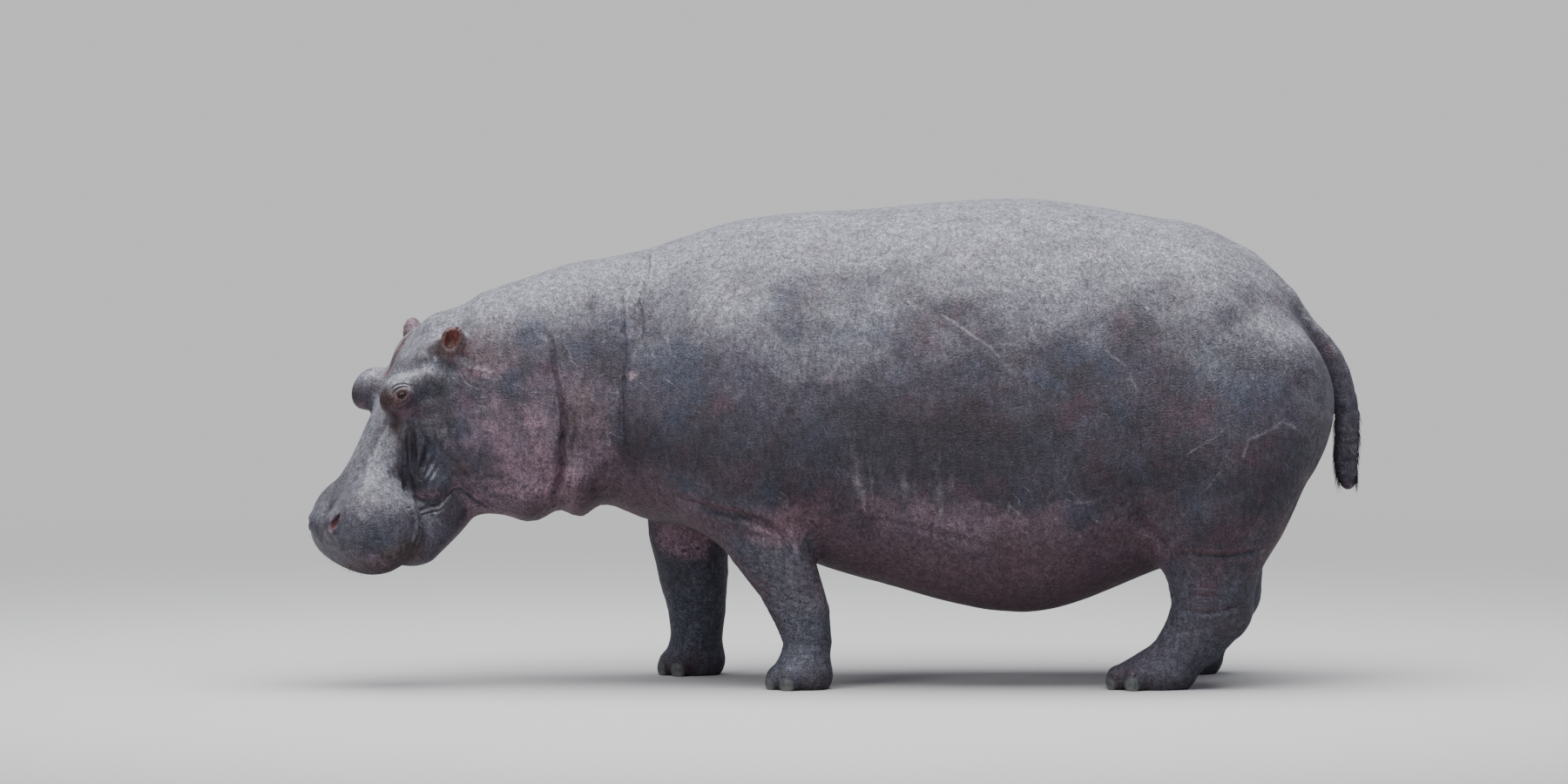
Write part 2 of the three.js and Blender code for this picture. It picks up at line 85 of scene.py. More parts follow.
def ellipsoid(centre: Triple, radii: Triple) -> Field:
    """Gives the field of an ellipsoid, from its middle and its half-lengths along X, Y and Z."""
    middle, size = np.array(centre, float), np.array(radii, float)

    def value(p: Points) -> np.ndarray:
        """Gives the distances."""
        q = (p - middle) / size
        k = np.linalg.norm(q, axis=1)
        return k * (k - 1) / np.maximum(np.linalg.norm(q / size, axis=1), 1e-9)

    return value


def limb(joints: Sequence[Joint]) -> Field:
    """Gives the field of a limb that tapers evenly from joint to joint."""
    bones = np.array(joints, float)

    def value(p: Points) -> np.ndarray:
        """Gives the distances."""
        best = np.full(len(p), np.inf)
        for start, end in zip(bones[:-1], bones[1:]):
            along = end[:3] - start[:3]
            t = np.clip((p - start[:3]) @ along / (along @ along), 0, 1)
            off = np.linalg.norm(p - start[:3] - t[:, None] * along, axis=1)
            best = np.minimum(best, off - start[3] - (end[3] - start[3]) * t)
        return best

    return value


def ring(radii: Pair, height: float, tube: float) -> Field:
    """Gives the field of an oval ring round the Z axis, from its half-lengths, height and tube's radius."""
    mean = sum(radii) / 2

    def value(p: Points) -> np.ndarray:
        """Gives the distances."""
        round_the_axis = np.hypot(p[:, 0] / radii[0], p[:, 1] / radii[1]) * mean - mean
        return np.hypot(round_the_axis, p[:, 2] - height) - tube

    return value


@dataclass(frozen=True)
class Oval:
    """An upright section of a loft: its place, its top, bottom and half-width, and its sideways shift."""

    at: float
    top: float
    bottom: float
    half: float
    side: float = 0.0


@dataclass(frozen=True)
class Cap:
    """A loft's rounded end: its length, the height that it closes to and its fullness."""

    length: float
    height: float
    power: float = 2.0


def between(ovals: Sequence[Oval], key: str, at: np.ndarray) -> np.ndarray:
    """Gives a smooth value of one measure of the sections, at places from the first to the last."""
    place = np.array([oval.at for oval in ovals], float)
    value = np.array([getattr(oval, key) for oval in ovals], float)
    after, before = np.append(np.arange(1, len(ovals)), len(ovals) - 1), np.arange(-1, len(ovals) - 1)
    before[0] = 0
    slope = (value[after] - value[before]) / (place[after] - place[before])
    i = np.clip(np.searchsorted(place, at), 1, len(ovals) - 1)
    span = place[i] - place[i - 1]
    t = np.clip((at - place[i - 1]) / span, 0, 1)
    return (
        (2 * t**3 - 3 * t**2 + 1) * value[i - 1]
        + (t**3 - 2 * t**2 + t) * span * slope[i - 1]
        + (3 * t**2 - 2 * t**3) * value[i]
        + (t**3 - t**2) * span * slope[i]
    )


def loft(ovals: Sequence[Oval], start: Cap, end: Cap, square: float = 2.2, pear: float = 0.0) -> Field:
    """Gives the field of a body lofted along X through upright ovals.

    Args:
        ovals: the sections, in order.
        start: the cap before the first.
        end: the cap after the last.
        square: the ovals' fullness.
        pear: how much wider they are low down.

    Returns:
        The field.
    """
    first, last = ovals[0].at, ovals[-1].at

    def stretched(p: Points) -> np.ndarray:
        """Gives the distances, too long where the shape is stretched."""
        at = np.clip(p[:, 0], first, last)
        behind = p[:, 0] > last
        length = np.where(behind, end.length, start.length)
        power = np.where(behind, end.power, start.power)
        over = np.abs(p[:, 0] - at) / length
        top, bottom = between(ovals, "top", at), between(ovals, "bottom", at)
        closing = np.where(behind, end.height, start.height)
        middle = (top + bottom) / 2
        middle = middle + (closing - middle) * np.minimum(over, 1)
        y, z = p[:, 1] - between(ovals, "side", at), p[:, 2] - middle
        up = 2 * z / (top - bottom)
        out = y / (between(ovals, "half", at) * (1 - pear * np.clip(up, -1, 1)))
        girth = (np.abs(up) ** square + np.abs(out) ** square) ** (1 / square)
        size = (over**power + girth**power) ** (1 / power)
        return np.sqrt((p[:, 0] - at) ** 2 + y**2 + z**2) * (1 - 1 / np.maximum(size, 1e-3))

    def value(p: Points) -> np.ndarray:
        """Gives the distances."""
        here = stretched(p)
        rise = slope_of(stretched, p, here, 2.0)
        return here / np.maximum(np.linalg.norm(rise, axis=1), 0.3)

    return value


def slope_of(shape: Field, p: Points, here: np.ndarray, step: float) -> np.ndarray:
    """Gives a field's slope at each point, from its values here and a step further on."""
    rises = [shape(p + step * np.eye(3)[axis]) - here for axis in range(3)]
    return np.stack(rises, axis=1) / step


def melt(*layers: tuple[Field, float]) -> Field:
    """Melts fields into one, each over its own width, in millimetres."""

    def value(p: Points) -> np.ndarray:
        """Gives the distances."""
        total = layers[0][0](p)
        for shape, width in layers[1:]:
            other = shape(p)
            near = np.maximum(width - np.abs(total - other), 0) / width
            total = np.minimum(total, other) - near * near * width / 4
        return total

    return value


def carve(shape: Field, tool: Field, width: float) -> Field:
    """Gives a field less another one, with an edge rounded over a width."""
    rest = melt((lambda p: -shape(p), 0.0), (tool, width))
    return lambda p: -rest(p)


def nearby(low: Triple, high: Triple, shape: Field) -> Field:
    """Works a field out only between two corners, and gives FAR elsewhere."""

    def value(p: Points) -> np.ndarray:
        """Gives the distances."""
        inside = np.all((p > low) & (p < high), axis=1)
        result = np.full(len(p), FAR)
        if inside.any():
            result[inside] = shape(p[inside])
        return result

    return value


def moved(matrix: Matrix | np.ndarray, p: Points) -> Points:
    """Gives points turned and shifted by a matrix."""
    there = np.array(matrix)
    return p @ there[:3, :3].T + there[:3, 3]


def in_frame(matrix: Matrix, shape: Field) -> Field:
    """Gives a field whose shape is placed by a matrix."""
    back = matrix.inverted()
    return lambda p: shape(moved(back, p))


def mirrored(shape: Field) -> Field:
    """Gives a field whose left half stands for both."""
    return lambda p: shape(p * (1, 0, 1) + np.abs(p) * (0, 1, 0))


def both(shape: Callable[[int], Field], width: float) -> list[tuple[Field, float]]:
    """Gives a mass on the left and on the right, with the width that they melt over."""
    return [(shape(side.value), width) for side in Side]


def settle(shape: Field, p: Points, rounds: int = 3, reach: float = 30.0) -> Points:
    """Moves points onto a field's surface.

    Args:
        shape: the field.
        p: the points.
        rounds: how many times they are moved.
        reach: the longest move in a round, in millimetres.

    Returns:
        The moved points.
    """
    for _ in range(rounds):
        here = shape(p)
        slope = slope_of(shape, p, here, 0.6)
        move = -slope * (here / np.maximum((slope**2).sum(1), 0.2))[:, None]
        size = np.linalg.norm(move, axis=1, keepdims=True)
        p = p + move * np.minimum(1, reach / np.maximum(size, 1e-9))
    return p


def waves(p: Points, length: float, octaves: int = 1, seed: int = 0) -> np.ndarray:
    """Gives smooth seeded noise from about -1 to 1.

    Args:
        p: the points.
        length: the size of its largest features.
        octaves: how many sizes it has, each half of the one before.
        seed: what sets it apart from other noise.

    Returns:
        The noise at each point.
    """
    table = np.random.default_rng(seed).uniform(-1, 1, (32, 32, 32))
    total, weight = np.zeros(len(p)), 0.0
    for octave in range(octaves):
        q = p / length * 2**octave + 7.3 * octave
        cell = np.floor(q).astype(int)
        t = q - cell
        t = t * t * (3 - 2 * t)
        value = np.zeros(len(p))
        for corner in np.ndindex(2, 2, 2):
            share = np.prod(np.where(np.array(corner), t, 1 - t), axis=1)
            i, j, k = ((cell + corner) % 32).T
            value += share * table[i, j, k]
        total += value / 2**octave
        weight += 0.5**octave
    return total / weight


def smooth_step(low: float, high: float, x: np.ndarray) -> np.ndarray:
    """Rises smoothly from 0 at low to 1 at high."""
    t = np.clip((x - low) / (high - low), 0, 1)
    return t * t * (3 - 2 * t)


# ------------ anatomy


@dataclass(frozen=True)
class Pit:
    """A hollow in the shape of an ellipsoid, in a frame of the head's with Z out of its mouth."""

    place: Matrix
    centre: Triple
    radii: Triple
    edge: float  # how widely its rim is rounded

    def carve(self, shape: Field) -> Field:
        """Takes the pit and its mirrored twin out of the head's field."""
        return carve(shape, mirrored(in_frame(self.place, ellipsoid(self.centre, self.radii))), self.edge)

    def sink(self, q: Points) -> Points:
        """Moves points of the head's left half from over the pit's mouth down to its bottom."""
        local = (moved(self.place.inverted(), q) - self.centre) / self.radii
        out = np.hypot(local[:, 0], local[:, 1])
        over = (out < 0.97) & (local[:, 2] > -np.sqrt(np.maximum(1 - out**2, 0)))
        over &= local[:, 2] * self.radii[2] < 60
        local[over, 2] = -np.sqrt(1 - out[over] ** 2)
        return np.where(over[:, None], moved(self.place, local * self.radii + self.centre), q)


@dataclass(frozen=True)
class Head:
    """The head's masses, in a frame with X to the nose, Y to the left and Z out of the forehead."""

    eyes: Triple = (-1408, -190, 941)
    turn: float = 21  # degrees to the left
    nod: float = 57  # degrees below level
    eye: Triple = (4, 166, 2)  # the left eyeball's middle
    eyeball: float = 21
    skull: tuple[Oval, ...] = (
        Oval(-230, 0, -300, 150),
        Oval(-110, 8, -320, 165),
        Oval(0, -8, -300, 150),
        Oval(110, -14, -250, 112),
        Oval(220, -27, -245, 108),
        Oval(320, -36, -285, 165),
        Oval(400, -44, -318, 212),
    )
    jaw: tuple[Oval, ...] = (
        Oval(-150, -180, -500, 170),
        Oval(0, -190, -490, 165),
        Oval(130, -200, -468, 142),
        Oval(250, -215, -450, 145),
        Oval(370, -250, -414, 158),
    )

    def frame(self) -> Matrix:
        """Gives the head's place in the animal's own frame."""
        turned = Matrix.Rotation(math.radians(180 + self.turn), 4, "Z")
        return Matrix.Translation(self.eyes) @ turned @ Matrix.Rotation(math.radians(self.nod), 4, "Y")

    def eye_frame(self) -> Matrix:
        """Gives the left eye's place in the head: X along its slit, Z out of it."""
        out = Vector((0.16, 0.95, 0.26)).normalized()
        along = Vector((0.89, 0, 0.46))
        along = (along - along.dot(out) * out).normalized()
        return frame_of(along, out, Vector(self.eye))

    def lid_fold(self, radii: Pair, start: float, end: float) -> tuple[Triple, ...]:
        """Gives an arc round the left eye, in degrees from its front corner with the lower lid first."""
        turns = [math.radians(start + (end - start) * step / 8) for step in range(9)]
        arc = [Vector((radii[0] * math.cos(t), radii[1] * math.sin(t), 8)) for t in turns]
        return tuple(tuple(self.eye_frame() @ place) for place in arc)

    def nostril_frame(self) -> Matrix:
        """Gives the left nostril's place in the head: X along its slit, Z out of it."""
        return frame_of(Vector((0.97, -0.12, 0.1)), Vector((0.05, 0.75, 0.66)), Vector((451, 104, -54)))

    def masses(self) -> Field:
        """Gives the field of the head without its fine features."""
        skull = loft(self.skull, Cap(140, -150), Cap(138, -178, 2.7), square=2.5)
        jaw = loft(self.jaw, Cap(120, -340), Cap(75, -310), square=2.3)
        brow = self.eye[1] - 36
        return melt(
            (skull, 0),
            (jaw, 36),
            *both(lambda s: ellipsoid((12, s * 98, -235), (190, 78, 135)), 60),
            *both(lambda s: ellipsoid((-32, s * 112, -430), (186, 118, 165)), 50),
            *both(lambda s: ellipsoid((385, s * 118, -178), (128, 108, 138)), 40),
            *both(lambda s: ellipsoid((2, s * brow, 2), (72, 52, 54)), 55),
            *both(lambda s: ellipsoid((440, s * 70, -66), (50, 42, 32)), 26),
            *both(lambda s: ellipsoid((-168, s * 108, -52), (72, 50, 52)), 50),
        )

    def features(self, masses: Field) -> Field:
        """Adds the lids, the nostrils' rims and the flesh at the corner of the mouth to the head's field."""
        corner = ellipsoid((172, 116, -243), (58, 46, 56))
        outer = in_frame(Matrix.Translation((3, 0, 0)), ring((30, 26), 4, 5.5))
        lids = nearby((-60, -60, -30), (60, 60, 60), melt((ring((21, 15), 12, 7.5), 0), (outer, 9)))
        rim = nearby((-60, -60, -30), (60, 60, 60), ring((34, 16), 3, 8))
        return melt(
            (masses, 0),
            (mirrored(corner), 20),
            (mirrored(in_frame(self.eye_frame(), lids)), 9),
            (mirrored(in_frame(self.nostril_frame(), rim)), 14),
        )

    def pits(self) -> list[Pit]:
        """Gives the opening of the left eye and of the left nostril."""
        return [
            Pit(self.eye_frame(), (0, 0, 18), (12.5, 6, 13), 3),
            Pit(self.nostril_frame(), (0, 0, 0), (31, 12.5, 18), 8),
        ]


@dataclass(frozen=True)
class Ear:
    """An ear, in a frame with X along it and Z out of its hollow."""

    root: Triple = (-175, 148, -62)
    grows: Triple = (-62, 32, 22)
    faces: Triple = (0.45, 0.85, 0.15)

    @property
    def length(self) -> float:
        """Gives the distance from the root to the middle of the cup."""
        return Vector(self.grows).length

    def frame(self) -> Matrix:
        """Gives the left ear's place in the head."""
        along = Vector(self.grows).normalized()
        across = Vector(self.faces).cross(along).normalized()
        return frame_of(along, along.cross(across), Vector(self.root))

    def shape(self) -> Field:
        """Gives the field of the stalk and the cup, with its rim."""
        stalk = limb([(-20, 0, 0, 36), (self.length, 0, 0, 26)])
        cup = in_frame(Matrix.Translation((self.length, 0, 0)), melt(
            (ellipsoid((0, 0, 0), (46, 34, 20)), 0),
            (ring((40, 28), 11, 6), 7),
        ))
        return melt((stalk, 0), (cup, 12))

    def bowl(self) -> Pit:
        """Gives the cup's hollow."""
        return Pit(self.frame(), (self.length + 2, 0, 17), (34, 22, 25), 5)


def frame_of(along: Vector, out: Vector, place: Vector) -> Matrix:
    """Builds a frame at a place, with X along one way and Z out, made square to X."""
    x = along.normalized()
    z = (out - out.dot(x) * x).normalized()
    turned = Matrix((x, z.cross(x), z)).transposed().to_4x4()
    return Matrix.Translation(place) @ turned


@dataclass(frozen=True)
class Foot:
    """A foot: its sole's middle, how far its toes reach ahead of that and its pad's half-length."""

    middle: Pair
    reach: float
    pad: float
    toes: tuple[float, ...] = (-62, -21, 21, 62)  # degrees
    spread: float = 72
    radius: float = 40
    height: float = 34

    def tips(self) -> list[Triple]:
        """Gives each toe's tip, as X, Y and the angle that it points at."""
        turns = [math.radians(angle) for angle in self.toes]
        x, y = self.middle
        return [(x - self.reach * math.cos(t), y + self.spread * math.sin(t), t) for t in turns]

    def shape(self) -> Field:
        """Gives the field of the pad and the toes."""
        x, y = self.middle
        toes = [limb([(x, y, 62, 52), (tx, ty, self.height, self.radius)]) for tx, ty, _ in self.tips()]
        return melt((ellipsoid((x + 12, y, 42), (self.pad, 86, 72)), 0), *((toe, 14) for toe in toes))


@dataclass(frozen=True)
class Leg:
    """A leg's joints from the top down, and its foot."""

    joints: tuple[Joint, ...]
    foot: Foot

    def shape(self) -> Field:
        """Gives the field of the leg and its foot."""
        low = np.min([j[:3] for j in self.joints], axis=0) - 300
        high = np.max([j[:3] for j in self.joints], axis=0) + 300
        return nearby(tuple(low), tuple(high), melt((limb(self.joints), 0), (self.foot.shape(), 40)))


LEGS = {
    "front_left": Leg(
        ((-290, -285, 640, 150), (-205, -290, 480, 122), (-125, -290, 345, 101), (-82, -288, 240, 90),
         (-62, -285, 150, 76), (-78, -285, 70, 76)),
        Foot((-80, -285), 82, 84),
    ),
    "front_right": Leg(
        ((-440, 265, 620, 150), (-444, 268, 465, 128), (-428, 268, 325, 112), (-418, 265, 212, 93),
         (-418, 262, 140, 84), (-425, 262, 70, 80)),
        Foot((-428, 262), 80, 86),
    ),
    "hind_left": Leg(
        ((1225, -290, 560, 180), (1222, -295, 410, 150), (1224, -292, 265, 130), (1165, -290, 165, 102),
         (1105, -290, 98, 84), (1050, -290, 60, 66)),
        Foot((1030, -290), 112, 120),
    ),
    "hind_right": Leg(
        ((1245, 290, 560, 180), (1252, 295, 410, 150), (1262, 292, 268, 130), (1228, 290, 168, 102),
         (1190, 290, 98, 84), (1150, 290, 60, 66)),
        Foot((1135, 290), 112, 120),
    ),
}


@dataclass(frozen=True)
class Body:
    """The torso's sections and the masses that melt into it."""

    ovals: tuple[Oval, ...] = (
        Oval(-1083, 1256, 568, 240, -110),
        Oval(-833, 1337, 556, 296, -45),
        Oval(-700, 1358, 566, 325, -26),
        Oval(-583, 1380, 522, 352, -10),
        Oval(-278, 1475, 458, 422),
        Oval(139, 1508, 325, 482),
        Oval(639, 1542, 225, 515),
        Oval(1083, 1475, 375, 484),
    )
    rump: float = 1578
    sacrum: tuple[Joint, ...] = ((1300, 0, 1250, 120), (1420, 0, 1182, 90), (1522, 0, 1096, 56))
    tail: tuple[Joint, ...] = (
        (1522, 0, 1096, 56), (1560, 0, 1068, 52), (1596, 0, 1030, 47), (1626, 0, 976, 43), (1646, 0, 910, 40),
        (1656, 0, 850, 39), (1656, 0, 780, 39), (1653, 0, 720, 38), (1656, 0, 664, 33), (1660, 0, 638, 25),
    )

    def shape(self, head: Field) -> Field:
        """Gives the field of the whole animal, with the head's field melted into it."""
        end = Cap(self.rump - self.ovals[-1].at, 905, 1.85)
        torso = loft(self.ovals, Cap(150, 880), end, square=2.25, pear=0.1)
        trunk = melt(
            (torso, 0),
            *both(lambda s: ellipsoid((-330, -s * 262, 850), (190, 172, 330)), 160),
            *both(lambda s: ellipsoid((1262, -s * 278, 700), (222, 200, 330)), 160),
            *both(lambda s: ellipsoid((1330, -s * 215, 895), (280, 225, 300)), 60),
            (limb(self.sacrum), 60),
            *((leg.shape(), 70) for leg in LEGS.values()),
        )
        roll = ellipsoid((-792, -40, 700), (85, 300, 170))
        jowl = ellipsoid((-948, -75, 642), (98, 225, 124))
        tail = nearby((1400, -150, 500), (1800, 150, 1300), limb(self.tail))
        return melt((trunk, 0), (roll, 26), (head, 60), (jowl, 40), (tail, 16))


@dataclass(frozen=True)
class Anatomy:
    """The whole animal's field, and where the animal's own frame lies in the model."""

    head: Head = field(default_factory=Head)
    ear: Ear = field(default_factory=Ear)
    body: Body = field(default_factory=Body)

    def origin(self) -> np.ndarray:
        """Gives the own frame's origin in the model, in metres, from where the left eye lies."""
        low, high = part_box("eye_left")
        eye = self.head.frame() @ Vector(self.head.eye) * MM
        middle = (low + high) / 2
        return np.array([middle.x - eye.x, middle.y - eye.y, 0.0])

    def to_own(self, places: np.ndarray) -> Points:
        """Turns places in the model into the animal's own frame."""
        return (places - self.origin()) / MM

    def to_model(self, p: Points) -> np.ndarray:
        """Turns points of the animal's own frame into places in the model."""
        return p * MM + self.origin()

    def in_head(self, p: Points) -> Points:
        """Gives points in the head's frame, all on its left."""
        q = moved(self.head.frame().inverted(), p)
        q[:, 1] = np.abs(q[:, 1])
        return q

    def in_ear(self, q: Points) -> Points:
        """Gives points of the head's left half in the ear's frame."""
        return moved(self.ear.frame().inverted(), q)

    def pits(self) -> list[Pit]:
        """Gives the hollows of the left half of the head."""
        return [*self.head.pits(), self.ear.bowl()]

    def shape(self, pitted: bool = True) -> Field:
        """Gives the whole animal's field in its own frame, with its openings hollow or closed."""
        ears = mirrored(in_frame(self.ear.frame(), self.ear.shape()))
        head = melt((self.head.features(self.head.masses()), 0), (ears, 26))
        for pit in self.pits() if pitted else []:
            head = pit.carve(head)
        placed = in_frame(self.head.frame(), head)
        return self.body.shape(nearby((-1850, -600, 250), (-740, 450, 1350), placed))


# ------------ folds


def beside(p: Points, path: Path, reach: float) -> np.ndarray:
    """Tells which points lie in the box round a path, widened by a reach."""
    return np.all((p > np.min(path, axis=0) - reach) & (p < np.max(path, axis=0) + reach), axis=1)


def length_of(path: Path) -> float:
    """Gives a path's length."""
    return np.linalg.norm(np.diff(np.array(path, float), axis=0), axis=1).sum()


def along_path(p: Points, path: Path) -> tuple[np.ndarray, np.ndarray]:
    """Gives each point's distance to a path, and how far along the path it is, from 0 to 1."""
    places = np.array(path, float)
    lengths = np.linalg.norm(np.diff(places, axis=0), axis=1)
    passed = np.concatenate([[0], np.cumsum(lengths)]) / lengths.sum()
    best, along = np.full(len(p), FAR), np.zeros(len(p))
    for i, (start, end) in enumerate(zip(places[:-1], places[1:])):
        step = end - start
        t = np.clip((p - start) @ step / (step @ step), 0, 1)
        off = np.linalg.norm(p - start - t[:, None] * step, axis=1)
        nearer = off < best
        best[nearer] = off[nearer]
        along[nearer] = (passed[i] + (passed[i + 1] - passed[i]) * t)[nearer]
    return best, along


@dataclass(frozen=True)
class Crease:
    """A line pressed into the skin, or raised where its depth is negative, with raised lips beside it."""

    path: Path
    depth: float
    width: float
    lip: float = 0.25

    def fade(self, along: np.ndarray) -> np.ndarray:
        """Gives how strong the line is along its length, from nothing at its ends."""
        from_end = np.minimum(along, 1 - along) * length_of(self.path)
        return np.sin(np.pi * np.clip(along, 0, 1)) ** 0.5 * smooth_step(0, 2.5 * self.width, from_end)

    def press(self, p: Points) -> np.ndarray:
        """Gives how far each point moves along the skin's normal."""
        near = beside(p, self.path, 5 * self.width)
        move = np.zeros(len(p))
        if near.any():
            off, along = along_path(p[near], self.path)
            groove = np.exp(-((off / self.width) ** 2))
            lip = np.exp(-(((off - 2.1 * self.width) / self.width) ** 2))
            move[near] = self.fade(along) * self.depth * (self.lip * lip - groove)
        return move

    def shade(self, p: Points) -> np.ndarray:
        """Gives how much painted shade the line lays on each point."""
        near = beside(p, self.path, SHADE_REACH)
        dark = np.zeros(len(p))
        if near.any():
            off, along = along_path(p[near], self.path)
            deep = min(self.depth / 10, 1)
            dark[near] = deep * self.fade(along) * np.exp(-((off / (0.7 * self.width)) ** 2))
        return dark


def surfaced(path: Path, shape: Field, wobble: float, spread: int = 6) -> Path:
    """Lays a line on the skin.

    Args:
        path: the places it runs through, near the skin.
        shape: the skin's field.
        wobble: how far it strays from its course, in millimetres.
        spread: how many steps each stretch is divided into.

    Returns:
        The line's places on the skin.
    """
    places = np.array(path, float)
    steps = np.arange(spread) / spread
    fine = np.array([a + (b - a) * t for a, b in zip(places[:-1], places[1:]) for t in steps] + [places[-1]])
    stray = np.stack([waves(fine, 45, 2, 40 + axis) for axis in range(3)], axis=1)
    return tuple(map(tuple, settle(shape, fine + wobble * stray, rounds=6, reach=40)))


HEAD = Head()
HEAD_CREASES = (
    # the deep groove behind the upper lip, up the side of the snout
    Crease(((52, 112, -71), (83, 110, -89), (120, 108, -112), (154, 112, -132), (209, 124, -163),
           (239, 150, -195), (263, 176, -232)), 17, 15, 0.2),
    Crease(((239, 156, -200), (263, 178, -237), (306, 192, -272), (344, 196, -289),
           (400, 186, -284)), 12, 7, 0.6),
    # the line of the mouth, round the flesh at its corner
    Crease(((268, 176, -250), (250, 164, -276), (233, 156, -301), (205, 152, -312), (163, 150, -318),
           (137, 152, -334), (128, 154, -369), (131, 152, -408), (129, 144, -442)), 9, 5.5, 0.1),
    Crease(((274, 176, -268), (261, 168, -288), (244, 160, -312), (220, 154, -328)), 4, 3.5, 0),
    # the folds that run out of the groove across the flesh
    Crease(((60, 114, -104), (80, 118, -122), (113, 122, -145), (151, 128, -163),
           (208, 140, -182)), 13, 8, 0.5),
    Crease(((58, 130, -140), (84, 138, -168), (153, 146, -186), (212, 150, -194)), 11, 7, 0.5),
    Crease(((96, 148, -200), (160, 156, -206), (212, 156, -207)), 6, 6, 0.5),
    Crease(((120, 154, -228), (165, 160, -226), (206, 160, -222)), 2.5, 4.5, 0.5),
    # the upright hollows that run down the cheek from the eye
    Crease(((28, 160, -110), (70, 164, -200), (100, 168, -270)), 3, 12, 0.4),
    Crease(((-10, 176, -150), (30, 178, -230), (60, 180, -300)), 2.5, 14, 0.4),
    # short folds on the upper lip's rear edge
    Crease(((300, 200, -198), (272, 196, -222)), 1.6, 3, 0.2),
    Crease(((316, 204, -214), (290, 202, -240)), 1.2, 3, 0.2),
    # the thin raised fold below the ear, the hollow above it and the fainter folds that fan out of it
    Crease(((-190, 164, -86), (-197, 168, -128), (-200, 172, -180), (-193, 176, -238)), -4, 6, 0),
    Crease(((-212, 164, -84), (-219, 168, -128), (-221, 172, -176)), 4, 9, 0),
    Crease(((-176, 172, -130), (-166, 178, -190), (-150, 184, -250)), 1.0, 4, 0.5),
    Crease(((-222, 168, -200), (-206, 178, -270), (-180, 184, -330)), 1.0, 4, 0.5),
    Crease(((-140, 158, -104), (-112, 168, -132), (-84, 176, -150)), 3, 9, 0.2),
    # the ridge from the eye to the ear, and the shallow hollow below it
    Crease(((-34, 158, 14), (-72, 158, -6), (-108, 160, -54), (-130, 164, -98),
           (-150, 168, -126)), -12, 19, 0),
    Crease(((-24, 172, -44), (-61, 176, -92), (-100, 178, -158)), 7, 24, 0),
    # the folds of the upper and lower lid
    Crease(HEAD.lid_fold((30, 22), 196, 332), 3.0, 2.6, 0.7),
    Crease(HEAD.lid_fold((42, 34), 200, 300), 2.6, 3.2, 0.6),
    Crease(HEAD.lid_fold((29, 22), 20, 160), 1.6, 2.4, 0.5),
    Crease(HEAD.lid_fold((44, 37), 24, 120), 2.0, 3.4, 0.4),
    # from the eye's corner down the side of the muzzle's bridge
    Crease(((48, 146, -4), (75, 126, -24), (100, 108, -48), (160, 100, -62), (214, 104, -74)), 3, 12, 0.15),
    # between the nostrils
    Crease(((380, 0, -30), (429, 0, -22), (480, 0, -40), (520, 0, -90)), 7, 13, 0.2),
)

BODY_CREASES = (
    # between the cheek and the neck, thin above and deep below
    Crease(((-882, -265, 1120), (-864, -300, 1010), (-846, -330, 900), (-838, -345, 760)), 11, 6.5, 0.6),
    Crease(((-840, -330, 940), (-834, -345, 828), (-849, -340, 735), (-861, -310, 640),
           (-868, -200, 552)), 20, 10, 0.4),
    # the neck's own upright folds
    Crease(((-574, -20, 1376), (-566, -130, 1353), (-571, -205, 1275), (-592, -262, 1196),
           (-588, -310, 1088)), 5.5, 6, 0.5),
    Crease(((-540, -150, 1340), (-546, -220, 1270), (-560, -270, 1190)), 2.5, 5, 0.4),
    Crease(((-612, -190, 1290), (-618, -240, 1210), (-612, -290, 1120)), 2, 6, 0.4),
    Crease(((-738, -150, 1290), (-739, -200, 1239), (-744, -270, 1141), (-747, -300, 1032)), 4, 12, 0.2),
    Crease(((-655, -200, 1290), (-645, -290, 1150), (-640, -330, 1030), (-645, -340, 909), (-642, -340, 812),
           (-632, -340, 730)), 5, 4.5, 0.5),
    Crease(((-655, -330, 960), (-660, -340, 880), (-656, -340, 800)), 3, 4, 0.4),
    Crease(((-716, -330, 930), (-712, -340, 820), (-716, -330, 700)), 4, 7, 0.3),
    Crease(((-800, -330, 900), (-806, -335, 800), (-812, -320, 690)), 3.5, 7, 0.3),
    # above the front leg, along the flank and in the groin
    Crease(((-460, -340, 640), (-425, -350, 617), (-383, -380, 600), (-306, -400, 579), (-194, -420, 533),
           (-125, -430, 498), (-56, -420, 427)), 15, 13, 0.25),
    Crease(((-262, -400, 508), (-139, -410, 480), (-78, -410, 452)), 4, 8, 0.3),
    Crease(((139, -500, 511), (250, -500, 497), (361, -500, 469), (472, -500, 450),
           (583, -490, 432)), 3, 13, 0.2),
    Crease(((200, -500, 450), (330, -500, 420), (480, -490, 392)), 2, 12, 0.2),
    Crease(((1000, -470, 620), (990, -450, 560), (1015, -420, 505), (1056, -400, 462),
           (1070, -380, 430)), 12, 15, 0.2),
    # across the hind leg
    Crease(((1090, -430, 436), (1167, -440, 443), (1250, -430, 446), (1361, -380, 466)), 7, 9, 0.3),
    Crease(((1097, -430, 339), (1170, -435, 334), (1250, -430, 331)), 3.5, 6, 0.3),
    Crease(((1104, -420, 310), (1180, -430, 306), (1250, -425, 306)), 2.5, 6, 0.3),
    Crease(((1100, -400, 262), (1194, -420, 249), (1270, -410, 262), (1333, -380, 285)), 5, 8, 0.3),
    Crease(((1040, -370, 200), (1110, -390, 190), (1190, -400, 200)), 3, 8, 0.3),
    # between the buttock and the thigh
    Crease(((1560, -180, 700), (1500, -260, 610), (1450, -330, 540)), 5, 16, 0.2),
)


